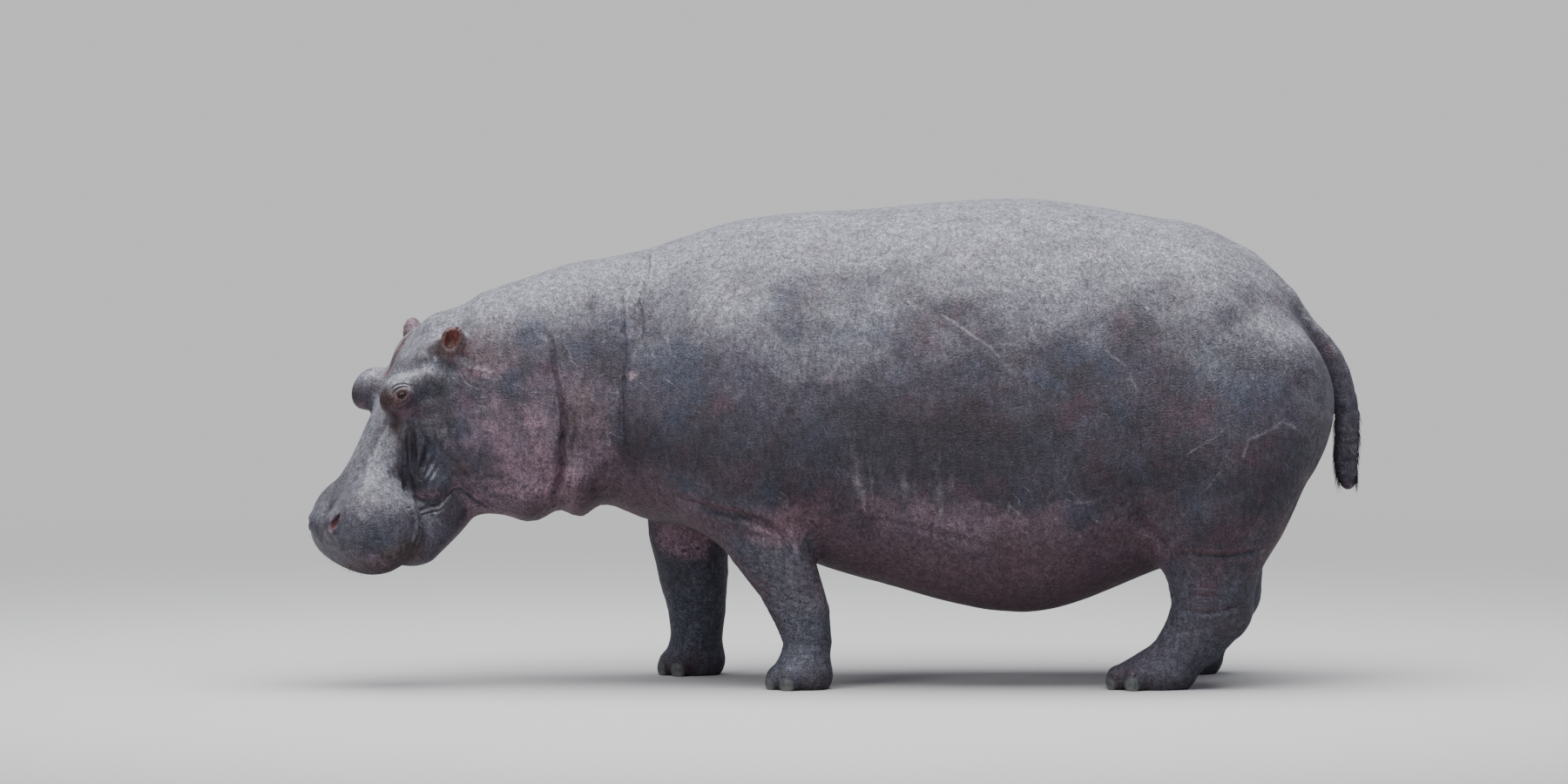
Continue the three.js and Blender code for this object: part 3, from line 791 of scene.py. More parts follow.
@dataclass(frozen=True)
class Rings:
    """Wrinkles that run round a limb: their spacing and depth, and the place where they are deepest."""

    middle: Triple
    radii: Triple
    axis: Triple
    spacing: float
    depth: float
    seed: int

    def press(self, p: Points) -> np.ndarray:
        """Gives how far each point moves along the skin's normal."""
        q = (p - self.middle) / self.radii
        share = np.exp(-((q**2).sum(1)) * 1.5)
        near = share > 0.02
        move = np.zeros(len(p))
        if near.any():
            along = p[near] @ np.array(self.axis, float)
            wander = 0.8 * waves(p[near], 90, 2, self.seed)
            wave = np.sin(2 * np.pi * (along / self.spacing + wander))
            groove = -np.maximum(wave, 0) ** 2.5
            patchy = smooth_step(-0.5, 0.5, waves(p[near], 120, 1, self.seed + 5))
            move[near] = share[near] * self.depth * groove * patchy
        return move


LIMB_RINGS = (
    Rings((-110, -290, 330), (190, 190, 240), (0.45, 0, 0.9), 26, 3.0, 11),
    Rings((-425, 265, 330), (190, 190, 260), (0, 0, 1), 26, 2.2, 12),
    Rings((1200, -300, 240), (260, 200, 240), (-0.2, 0, 1), 27, 3.2, 13),
    Rings((1240, 300, 240), (260, 200, 240), (-0.2, 0, 1), 27, 2.4, 14),
    Rings((1654, 0, 740), (90, 90, 150), (0, 0, 1), 27, 6.0, 15),
    Rings((1650, 0, 900), (90, 90, 120), (0, 0, 1), 60, 3.0, 17),
    Rings((-700, -60, 900), (190, 420, 420), (1, 0, -0.1), 62, 3.4, 16),
)


class Stain(Enum):
    """What the skin's colour is made of, each the name of an attribute on it: the dust stain also carries
    painted highlights, the crease stain is painted shade in the folds, and the deep stain is darker skin and
    painted shade.
    """

    DUST = "dust"
    BLUSH = "blush"
    CREASE = "crease"
    WET = "wet"
    SCAR = "scar"
    RUST = "rust"
    LID = "lid"
    SLATE = "slate"
    OCHRE = "ochre"
    DEEP = "deep"


DUST, BLUSH, CREASE, WET, SCAR, RUST, LID, SLATE, OCHRE, DEEP = Stain


@dataclass(frozen=True)
class Patch:
    """A soft-edged patch of one stain."""

    stain: Stain
    amount: float
    centre: Triple
    radii: Triple
    rough: float = 0.3  # how much its edge wanders

    def cover(self, p: Points, seed: int) -> np.ndarray:
        """Gives the stain's strength at each point."""
        far = np.linalg.norm((p - self.centre) / self.radii, axis=1)
        near = far < 1.8
        result = np.zeros(len(p))
        if near.any():
            wander = self.rough * waves(p[near], 0.5 * min(self.radii), 3, seed)
            result[near] = self.amount * smooth_step(1.15, 0.45, far[near] + wander)
        return result


@dataclass(frozen=True)
class Trail:
    """A scratch, trickle or band of one stain along a path."""

    stain: Stain
    amount: float
    path: Path
    width: float

    def cover(self, p: Points, seed: int) -> np.ndarray:
        """Gives the stain's strength at each point."""
        near = beside(p, self.path, SHADE_REACH)
        result = np.zeros(len(p))
        if near.any():
            off, along = along_path(p[near], self.path)
            broken = 0.75 + 0.5 * waves(p[near], 30, 2, seed)
            ends = smooth_step(0, 0.12, along) * smooth_step(0, 0.12, 1 - along)
            result[near] = self.amount * np.exp(-((off / self.width) ** 2)) * broken * ends
        return result


def on_both_sides(*patches: Patch) -> tuple[Patch, ...]:
    """Gives the patches, and each once more on the animal's other side."""
    centres = [(x, -y, z) for x, y, z in (patch.centre for patch in patches)]
    return (*patches, *(replace(patch, centre=centre) for patch, centre in zip(patches, centres)))


STREAK = ((-1352, -88, 1162), (-1356, -88, 1073), (-1380, -100, 1027), (-1392, -108, 991), (-1403, -120, 970))
HEAD_PATCHES = (
    # the eye's surroundings, with the dark trickle down from its corner, a painted highlight on the upper lid
    # and painted shade below the eye
    Patch(LID, 1.0, (4, 178, 4), (27, 20, 22), 0.15),
    Patch(LID, 1.0, (38, 148, 32), (46, 46, 42)),
    Trail(LID, 1.0, ((30, 152, 26), (47, 144, 12), (70, 132, -15), (94, 122, -43), (120, 114, -66)), 18),
    Patch(RUST, 0.35, (20, 168, 8), (50, 30, 34), 0.4),
    Patch(BLUSH, 0.4, (-6, 178, -14), (34, 26, 24), 0.5),
    # painted shade below the eye
    Patch(DEEP, 0.6, (18, 160, -22), (60, 50, 34), 0.4),
    Trail(OCHRE, 0.9, ((104, 118, -52), (148, 112, -90), (190, 116, -130), (214, 122, -160)), 14),
    Trail(DEEP, 1.0, ((56, 132, -26), (100, 118, -66), (146, 112, -104), (190, 116, -134)), 18),
    Trail(RUST, 0.22, ((56, 132, -26), (100, 118, -66), (150, 112, -106)), 20),
    Patch(WET, 0.6, (20, 150, 0), (100, 70, 90)),
    # painted highlight on the upper lid
    Patch(DUST, 1.0, (22, 160, 34), (26, 20, 12)),
    # the ridge behind the eye, with a painted highlight along its top, and slate skin and painted shade below
    # it
    Patch(DUST, 1.0, (-48, 142, 26), (56, 44, 36)),
    Trail(DUST, 1.0, ((-40, 158, 14), (-108, 162, -50), (-134, 166, -100), (-160, 168, -130)), 30),
    Trail(SCAR, 0.5, ((-50, 156, 16), (-104, 160, -44), (-130, 166, -92)), 16),
    Patch(DUST, 0.8, (14, 140, 44), (44, 34, 24)),
    Trail(SLATE, 0.9, ((-6, 172, -26), (-61, 176, -92), (-110, 178, -172)), 30),
    Trail(DEEP, 0.75, ((-6, 172, -30), (-58, 176, -94), (-110, 178, -176)), 25),
    # the snout's bridge and sides, with painted highlights on the bridge and along the upper lip's rear rim,
    # painted shade outside that rim, and darker skin and painted shade low on the snout
    Patch(DUST, 0.8, (120, 0, -10), (330, 84, 90)),
    Patch(DUST, 1.0, (185, 100, -72), (150, 50, 56)),
    Patch(WET, 0.9, (180, 90, -70), (200, 80, 80)),
    Patch(WET, 0.7, (400, 60, -50), (190, 200, 120)),
    Patch(SLATE, 0.7, (440, 110, -190), (150, 200, 150)),
    Patch(DEEP, 0.6, (455, 110, -150), (70, 150, 70), 0.5),
    Patch(DEEP, 0.8, (229, 165, -292), (70, 40, 26), 0.4),
    Patch(SLATE, 0.6, (172, 140, -240), (70, 60, 60)),
    Patch(OCHRE, 1.0, (475, 60, -255), (165, 230, 115), 0.5),
    Patch(DEEP, 0.7, (475, 60, -268), (165, 230, 110), 0.5),
    Trail(DUST, 0.8, ((262, 168, -206), (296, 188, -238), (340, 198, -262), (392, 192, -262)), 6),
    Trail(DEEP, 0.9, ((250, 170, -236), (290, 190, -272), (340, 196, -292), (400, 186, -290)), 7),
    # the pale edge of the nostril, a painted highlight
    Trail(DUST, 0.9, ((424, 104, -36), (414, 112, -60), (420, 118, -78)), 8),
    # painted shade in the groove behind the upper lip and in the hollow below the brow
    Patch(DEEP, 1.0, (92, 118, -140), (80, 40, 64)),
    Patch(DEEP, 0.9, (200, 140, -196), (60, 40, 44)),
    Patch(DEEP, 0.85, (-10, 172, -140), (130, 40, 80), 0.5),
    # the cheek
    Patch(BLUSH, 1.0, (-96, 185, -450), (230, 160, 240), 0.5),
    Patch(BLUSH, 0.4, (-120, 170, -290), (200, 60, 160), 0.6),
    Patch(BLUSH, 0.85, (20, 100, -510), (240, 150, 90), 0.4),
    Patch(OCHRE, 0.5, (60, 178, -330), (70, 40, 90), 0.5),
    Patch(SCAR, 0.4, (30, 178, -140), (46, 30, 60), 0.6),
    # the pale fold below the ear, a painted highlight with painted shade above it, and the wet, red-brown
    # skin round the ear's root, darkened with painted shade
    Trail(SCAR, 1.0, ((-190, 164, -86), (-197, 168, -124), (-200, 172, -176)), 13),
    Trail(BLUSH, 0.9, ((-190, 168, -96), (-199, 172, -170), (-194, 176, -236)), 17),
    Trail(RUST, 0.45, ((-216, 166, -80), (-232, 168, -128), (-236, 172, -190)), 22),
    Trail(DEEP, 0.7, ((-214, 166, -70), (-226, 168, -124), (-230, 172, -190)), 18),
    Patch(DEEP, 0.8, (-186, 150, -34), (44, 36, 40), 0.5),
    Patch(LID, 0.75, (-190, 156, -40), (46, 40, 40), 0.5),
    Patch(RUST, 0.35, (-196, 160, -70), (40, 40, 34), 0.5),
    Patch(WET, 1.0, (-150, 150, -30), (90, 60, 80)),
    Patch(WET, 1.0, (-7, 140, 57), (80, 70, 50)),
    Trail(WET, 1.0, ((-40, 158, 14), (-108, 162, -50), (-160, 168, -130), (-180, 170, -190)), 40),
    # the nostril
    Patch(BLUSH, 1.0, (455, 94, -58), (38, 22, 30), 0.1),
    Patch(RUST, 0.6, (455, 88, -64), (30, 18, 24), 0.1),
)

BODY_PATCHES = (
    # the reddish streak down the right of the forehead
    Trail(RUST, 0.6, STREAK, 14),
    Trail(LID, 0.8, STREAK, 9),
    *on_both_sides(
        Patch(BLUSH, 0.85, (-850, -250, 640), (90, 300, 130), 0.4),
        Patch(BLUSH, 0.55, (-700, -100, 560), (260, 300, 90), 0.4),
        Patch(BLUSH, 0.42, (-765, -330, 740), (110, 90, 160), 0.5),
        Patch(BLUSH, 0.22, (-820, -300, 900), (170, 160, 200), 0.6),
    ),
    Patch(RUST, 0.12, (-700, -100, 560), (260, 300, 90), 0.4),
    # the purple skin behind the ear, darkened with painted shade, with painted shade along the crease between
    # the cheek and the neck and round the neck's folds
    Patch(BLUSH, 0.55, (-1090, -260, 1070), (110, 150, 110), 0.5),
    Patch(RUST, 0.22, (-1100, -260, 1060), (90, 120, 80), 0.5),
    Patch(DEEP, 0.9, (-1060, -250, 1070), (170, 160, 120), 0.4),
    Patch(DEEP, 0.5, (-786, -340, 820), (60, 80, 120), 0.5),
    Trail(DEEP, 0.8, ((-862, -300, 1000), (-842, -335, 880), (-838, -345, 790), (-852, -338, 700),
          (-862, -300, 610)), 9),
    Patch(OCHRE, 0.5, (-770, -340, 860), (90, 90, 130), 0.5),
    Patch(DEEP, 0.5, (-700, -330, 1080), (90, 160, 110), 0.5),
    Patch(DEEP, 0.6, (-630, -340, 740), (50, 60, 90), 0.7),
    Patch(BLUSH, 0.5, (-110, -430, 520), (160, 120, 90), 0.4),
    Patch(BLUSH, 0.4, (-440, -300, 600), (90, 120, 70), 0.4),
    Patch(RUST, 0.12, (-60, -400, 500), (160, 160, 90), 0.4),
    Patch(SLATE, 0.9, (-230, -300, 440), (170, 140, 110)),
    Patch(BLUSH, 1.0, (-458, 150, 457), (120, 110, 90), 0.4),
    Patch(BLUSH, 0.6, (300, 0, 330), (620, 460, 190), 0.4),
    Patch(BLUSH, 0.4, (360, -470, 510), (560, 120, 120), 0.5),
    Patch(BLUSH, 0.35, (1020, -330, 470), (120, 180, 120), 0.4),
    Patch(RUST, 0.14, (360, -300, 360), (660, 300, 170), 0.4),
    Patch(BLUSH, 0.8, (-619, -340, 1004), (20, 50, 14)),
    Patch(SCAR, 1.0, (-619, -340, 1004), (11, 50, 7)),
    Patch(BLUSH, 0.4, (1540, -120, 860), (60, 120, 200), 0.5),
    Patch(DUST, 0.42, (1520, -200, 900), (110, 220, 200), 0.5),
    *on_both_sides(Patch(DUST, 0.30, (1600, -220, 850), (150, 240, 240), 0.6)),
    Patch(DUST, 0.17, (-110, -300, 280), (180, 180, 260), 0.6),
    Patch(DUST, 0.09, (1200, -300, 240), (260, 200, 260), 0.6),
    Patch(DUST, 0.12, (1640, 0, 850), (100, 90, 240), 0.6),
    # darker skin and painted shade high on the flank and on the rump
    Patch(DEEP, 0.4, (560, -450, 1080), (220, 200, 90), 0.6),
    Patch(DUST, 0.42, (0, -440, 1090), (250, 160, 120), 0.6),
    Patch(SLATE, 0.6, (1340, -400, 1040), (170, 150, 120), 0.5),
    Patch(DEEP, 0.6, (1340, -400, 1060), (150, 150, 90), 0.5),
    # darker bands along the flank and over the thigh: darker skin and painted shade
    Patch(DEEP, 0.95, (330, -480, 800), (520, 200, 150), 0.5),
    Patch(DEEP, 0.45, (-250, -420, 720), (200, 160, 170), 0.5),
    Patch(DEEP, 0.35, (980, -460, 720), (280, 200, 220), 0.6),
    # old scratches
    Trail(SCAR, 0.9, ((347, -430, 1208), (389, -430, 1180), (453, -440, 1133), (514, -450, 1092),
          (583, -470, 1016), (611, -470, 1002)), 3.5),
    Trail(SCAR, 0.7, ((458, -400, 1242), (528, -400, 1270), (597, -400, 1275)), 3),
    Trail(SCAR, 0.6, ((500, -400, 1275), (561, -400, 1311)), 3),
    Trail(SCAR, 0.7, ((597, -400, 1206), (639, -400, 1245), (694, -400, 1250)), 3),
    Trail(SCAR, 0.5, ((-560, -300, 1230), (-500, -330, 1120), (-470, -350, 1040)), 3),
    Trail(SCAR, 0.5, ((860, -430, 1090), (940, -430, 1030), (980, -430, 940)), 3),
    Trail(SCAR, 0.5, ((-200, -400, 1020), (-120, -420, 985), (-40, -430, 990)), 3),
    Trail(SCAR, 0.7, ((1300, -470, 736), (1325, -465, 805), (1390, -440, 835), (1436, -425, 860),
          (1467, -405, 848), (1500, -385, 821)), 3.5),
    Trail(SCAR, 0.5, ((1130, -480, 760), (1200, -480, 800), (1270, -475, 850)), 3),
    Trail(SCAR, 0.45, ((1190, -480, 640), (1230, -480, 700), (1280, -470, 740)), 3),
    # dried trickles down the flank
    Trail(SCAR, 0.75, ((74, -490, 800), (84, -490, 740), (96, -490, 668), (104, -480, 600)), 13),
    Trail(SCAR, 0.6, ((96, -490, 650), (106, -485, 590), (110, -480, 545)), 6),
    Trail(SCAR, 0.45, ((126, -490, 760), (134, -490, 680), (138, -480, 590)), 5),
    Trail(SCAR, 0.5, ((231, -500, 767), (240, -500, 690), (246, -495, 600)), 8),
    Trail(SCAR, 0.5, ((340, -510, 740), (352, -505, 640), (361, -500, 520)), 9),
    Trail(SCAR, 0.4, ((386, -510, 720), (394, -505, 640)), 5),
    Patch(SLATE, 0.8, (-90, -290, 220), (190, 180, 330)),
    Patch(SLATE, 0.8, (-425, 265, 220), (190, 180, 330)),
    Patch(SLATE, 0.5, (1150, -290, 180), (300, 200, 300)),
    Patch(SLATE, 0.5, (1210, 290, 180), (300, 200, 300)),
    Patch(OCHRE, 0.35, (-90, -290, 20), (190, 180, 60), 0.6),
    Patch(OCHRE, 0.35, (-425, 265, 20), (190, 180, 60), 0.6),
    Patch(OCHRE, 0.25, (1050, -290, 20), (240, 200, 50), 0.6),
    Patch(OCHRE, 0.25, (1150, 290, 20), (240, 200, 50), 0.6),
)


# ------------ tools


def deselect() -> None:
    """Deselects every object, in Object Mode."""
    if bpy.context.object and bpy.context.object.mode != "OBJECT":
        bpy.ops.object.mode_set(mode="OBJECT")
    bpy.ops.object.select_all(action="DESELECT")


def activate(piece: Piece) -> None:
    """Selects one object alone and makes it the active one."""
    deselect()
    piece.select_set(True)
    bpy.context.view_layer.objects.active = piece


@contextmanager
def editing(piece: Piece, kind: str = "VERT", chosen: np.ndarray | None = None) -> Iterator[None]:
    """Opens a piece in Edit Mode, with all of it or some of its points or faces selected.

    Args:
        piece: the piece.
        kind: what is selected, VERT or FACE.
        chosen: which of them, or None for all.
    """
    activate(piece)
    bpy.ops.object.mode_set(mode="EDIT")
    bpy.ops.mesh.select_mode(type=kind)
    bpy.ops.mesh.select_all(action="SELECT" if chosen is None else "DESELECT")
    if chosen is not None:
        bpy.ops.object.mode_set(mode="OBJECT")
        (piece.data.vertices if kind == "VERT" else piece.data.polygons).foreach_set("select", chosen)
        bpy.ops.object.mode_set(mode="EDIT")
    yield
    bpy.ops.object.mode_set(mode="OBJECT")


def apply_modifier(piece: Piece, kind: str, **settings: object) -> None:
    """Adds a modifier of a kind to a piece, with its settings, and applies it."""
    activate(piece)
    modifier = piece.modifiers.new(kind.title(), kind)
    for name, value in settings.items():
        setattr(modifier, name, value)
    bpy.ops.object.modifier_apply(modifier=modifier.name)


def copies_of(nodes: Sequence[str], name: str) -> Piece:
    """Joins copies of CAD nodes into one object at the origin, with their doubled points merged."""
    made = []
    for node in nodes:
        copy = bpy.data.objects.new(f"{name}_{node}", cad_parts[node].data.copy())
        bpy.context.scene.collection.objects.link(copy)
        made.append(copy)
    deselect()
    for copy in made:
        copy.select_set(True)
    bpy.context.view_layer.objects.active = made[0]
    bpy.ops.object.join()
    whole = bpy.context.object
    whole.name = whole.data.name = name
    whole.data.materials.clear()
    with editing(whole):
        bpy.ops.mesh.remove_doubles(threshold=1e-6)
    return whole


def places_of(piece: Piece) -> np.ndarray:
    """Gives the places of a mesh's points, in metres."""
    flat = np.empty(len(piece.data.vertices) * 3)
    piece.data.vertices.foreach_get("co", flat)
    return flat.reshape(-1, 3)


def place(piece: Piece, places: np.ndarray) -> None:
    """Moves a mesh's points to new places, in metres."""
    piece.data.vertices.foreach_set("co", places.ravel())
    piece.data.update()


def normals_of(piece: Piece) -> np.ndarray:
    """Gives the normals at a mesh's points."""
    flat = np.empty(len(piece.data.vertices) * 3)
    piece.data.vertex_normals.foreach_get("vector", flat)
    return flat.reshape(-1, 3)


def write_attribute(piece: Piece, name: str, values: np.ndarray) -> None:
    """Writes a number for each of a mesh's points under a name."""
    attribute = piece.data.attributes.new(name, "FLOAT", "POINT")
    attribute.data.foreach_set("value", np.asarray(values, np.float32))


def shade_smooth(piece: Piece) -> None:
    """Shades a piece smooth."""
    activate(piece)
    bpy.ops.object.shade_smooth()


# ------------ materials


class Wiring:
    """Adds nodes to a shader tree and links them."""

    def __init__(self, tree: Tree) -> None:
        """Starts on a tree."""
        self.tree = tree

    def add(self, kind: str, inputs: dict | None = None, **settings: object) -> Node:
        """Adds a node.

        Args:
            kind: its type, without the ShaderNode in front.
            inputs: values or sockets for its inputs, by name or number.
            settings: its settings.

        Returns:
            The node.
        """
        node = self.tree.nodes.new("ShaderNode" + kind)
        for name, value in settings.items():
            setattr(node, name, value)
        self.plug(node, inputs or {})
        return node

    def plug(self, node: Node, inputs: dict) -> None:
        """Sets a node's inputs to values, or links them to sockets, by name or number."""
        for name, value in inputs.items():
            if isinstance(value, Socket):
                self.tree.links.new(value, node.inputs[name])
            else:
                node.inputs[name].default_value = value

    def math(self, operation: str, a: object, b: object = 0.0, clamp: bool = False) -> Socket:
        """Adds a sum of two numbers or sockets, and gives its result."""
        return self.add("Math", {0: a, 1: b}, operation=operation, use_clamp=clamp).outputs[0]

    def share(self, *factors: object) -> Socket:
        """Multiplies masks and numbers together."""
        total = factors[0]
        for factor in factors[1:]:
            total = self.math("MULTIPLY", total, factor, clamp=True)
        return total

    def ramp(self, value: object, low: float, high: float, to: Pair = (0, 1)) -> Socket:
        """Maps a value smoothly from one range onto another."""
        inputs = {"Value": value, "From Min": low, "From Max": high, "To Min": to[0], "To Max": to[1]}
        return self.add("MapRange", inputs, interpolation_type="SMOOTHSTEP").outputs[0]

    def mix(self, factor: object, a: object, b: object, blend: str = "MIX") -> Socket:
        """Mixes two colours, each a socket or four numbers."""
        node = self.add("Mix", {0: factor, 6: a, 7: b}, data_type="RGBA", blend_type=blend)
        return node.outputs[2]

    def mask(self, name: str) -> Socket:
        """Reads an attribute of the piece as a number."""
        return self.add("Attribute", attribute_name=name).outputs["Fac"]

    def noise(self, vector: object, scale: float, detail: float, rough: float = 0.5) -> Socket:
        """Adds noise and gives its value."""
        inputs = {"Vector": vector, "Scale": scale, "Detail": detail, "Roughness": rough}
        return self.add("TexNoise", inputs).outputs[0]

    def stretched(self, vector: object, scale: Triple, turn: Triple = (0, 0, 0)) -> Socket:
        """Stretches and turns a pattern's coordinates."""
        return self.add("Mapping", {"Vector": vector, "Scale": scale, "Rotation": turn}).outputs[0]

    def feed(self, shader: Node, **inputs: object) -> None:
        """Sets or links a shader's inputs, whose names have _ for a space."""
        self.plug(shader, {name.replace("_", " "): value for name, value in inputs.items()})


def new_group(name: str, inputs: dict[str, float], output: str) -> tuple[Wiring, dict, Node]:
    """Starts a shader node group that reads Object coordinates.

    Args:
        name: its name.
        inputs: its numbers and their usual values.
        output: the name of its result, a number.

    Returns:
        Its wiring, its input sockets by name, and its output node.
    """
    tree = bpy.data.node_groups.new(name, "ShaderNodeTree")
    tree.interface.new_socket("Vector", in_out="INPUT", socket_type="NodeSocketVector")
    for key, value in inputs.items():
        tree.interface.new_socket(key, in_out="INPUT", socket_type="NodeSocketFloat").default_value = value
    tree.interface.new_socket(output, in_out="OUTPUT", socket_type="NodeSocketFloat")
    entry, end = tree.nodes.new("NodeGroupInput"), tree.nodes.new("NodeGroupOutput")
    return Wiring(tree), {socket.name: socket for socket in entry.outputs}, end


def new_material(name: str) -> tuple[Material, Wiring, Node]:
    """Starts a material, and gives it with its wiring and its Principled BSDF."""
    material = bpy.data.materials.new(name)
    material.use_nodes = True
    return material, Wiring(material.node_tree), material.node_tree.nodes["Principled BSDF"]


def furrow_group() -> Tree:
    """Builds the fine meandering furrows that all the bare skin has."""
    wiring, given, end = new_group("furrows", {"Scale": 40.0, "Width": 0.06}, "Line")
    level = wiring.noise(given["Vector"], given["Scale"], 2.5, 0.55)
    off = wiring.math("ABSOLUTE", wiring.math("SUBTRACT", level, 0.5))
    wiring.feed(end, Line=wiring.ramp(off, given["Width"], 0.0))
    return wiring.tree


def speckle_group() -> Tree:
    """Builds dark spots of uneven sizes, scattered over the skin."""
    wiring, given, end = new_group("dark_speckles", {"Scale": 40.0, "Size": 0.3}, "Spots")
    vector = wiring.stretched(given["Vector"], (0.8, 1.0, 1.2))
    cells = wiring.add("TexVoronoi", {"Vector": vector, "Scale": given["Scale"], "Randomness": 1.0})
    own = wiring.add("SeparateColor", {"Color": cells.outputs["Color"]}).outputs[0]
    size = wiring.math("MULTIPLY", wiring.ramp(own, 0.35, 1.0, (0.0, 1.6)), given["Size"])
    wander = wiring.math("MULTIPLY", wiring.noise(given["Vector"], 120.0, 2), 0.2)
    edge = wiring.math("SUBTRACT", wiring.math("ADD", size, wander), cells.outputs["Distance"])
    wiring.feed(end, Spots=wiring.ramp(edge, 0.06, 0.2))
    return wiring.tree


class HidePatterns(Wiring):
    """The hide's patterns and stains, laid in its material's tree."""

    def __init__(self, tree: Tree) -> None:
        """Lays them in the tree."""
        super().__init__(tree)
        self.where = where = self.add("TexCoord").outputs["Object"]
        self.furrows, speckles = furrow_group(), speckle_group()
        self.stain = {stain: self.mask(stain.value) for stain in Stain}
        self.broad = self.noise(where, 3.2, 3, 0.6)
        self.drift = self.noise(self.stretched(where, (1, 1, 1), (0.7, 0.4, 0.2)), 6.5, 4, 0.62)
        self.cloud = self.noise(where, 13.0, 4, 0.65)
        self.fine = self.noise(where, 42.0, 3, 0.6)
        self.smear = self.noise(self.stretched(where, (1, 1, 0.22), (0, 0.15, 0)), 85.0, 3, 0.7)
        self.grain = self.noise(where, 230.0, 2, 0.75)
        self.falling = self.lines((2.8, 1.3, 1.0), 52, 92.0, 0.055)
        self.rising = self.lines((2.4, 1.2, 1.0), -38, 76.0, 0.050)
        self.level = self.lines((2.6, 2.6, 1.0), 0, 88.0, 0.065)
        self.hatch = self.lines((1.6, 1.6, 1.0), 20, 190.0, 0.11)
        scratches = self.lines((3.0, 3.0, 1.0), 40, 9.0, 0.010)
        places = self.ramp(self.cloud, 0.48, 0.62), self.ramp(self.drift, 0.42, 0.60)
        self.scratched = self.share(scratches, *places, 0.55)
        self.spots, self.pits = (
            self.add("Group", {"Vector": where, "Scale": scale, "Size": size}, node_tree=speckles).outputs[0]
            for scale, size in ((52.0, 0.30), (34.0, 0.16))
        )

    def lines(self, scale: Triple, tilt: float, size: float, width: float) -> Socket:
        """Lays furrows that are long one way: how long along each axis, and the first axis's tilt."""
        inputs = {"Vector": self.where, "Rotation": (0, math.radians(tilt), 0), "Scale": scale}
        turned = self.add("Mapping", inputs, vector_type="TEXTURE").outputs[0]
        inputs = {"Vector": turned, "Scale": size, "Width": width}
        return self.add("Group", inputs, node_tree=self.furrows).outputs[0]


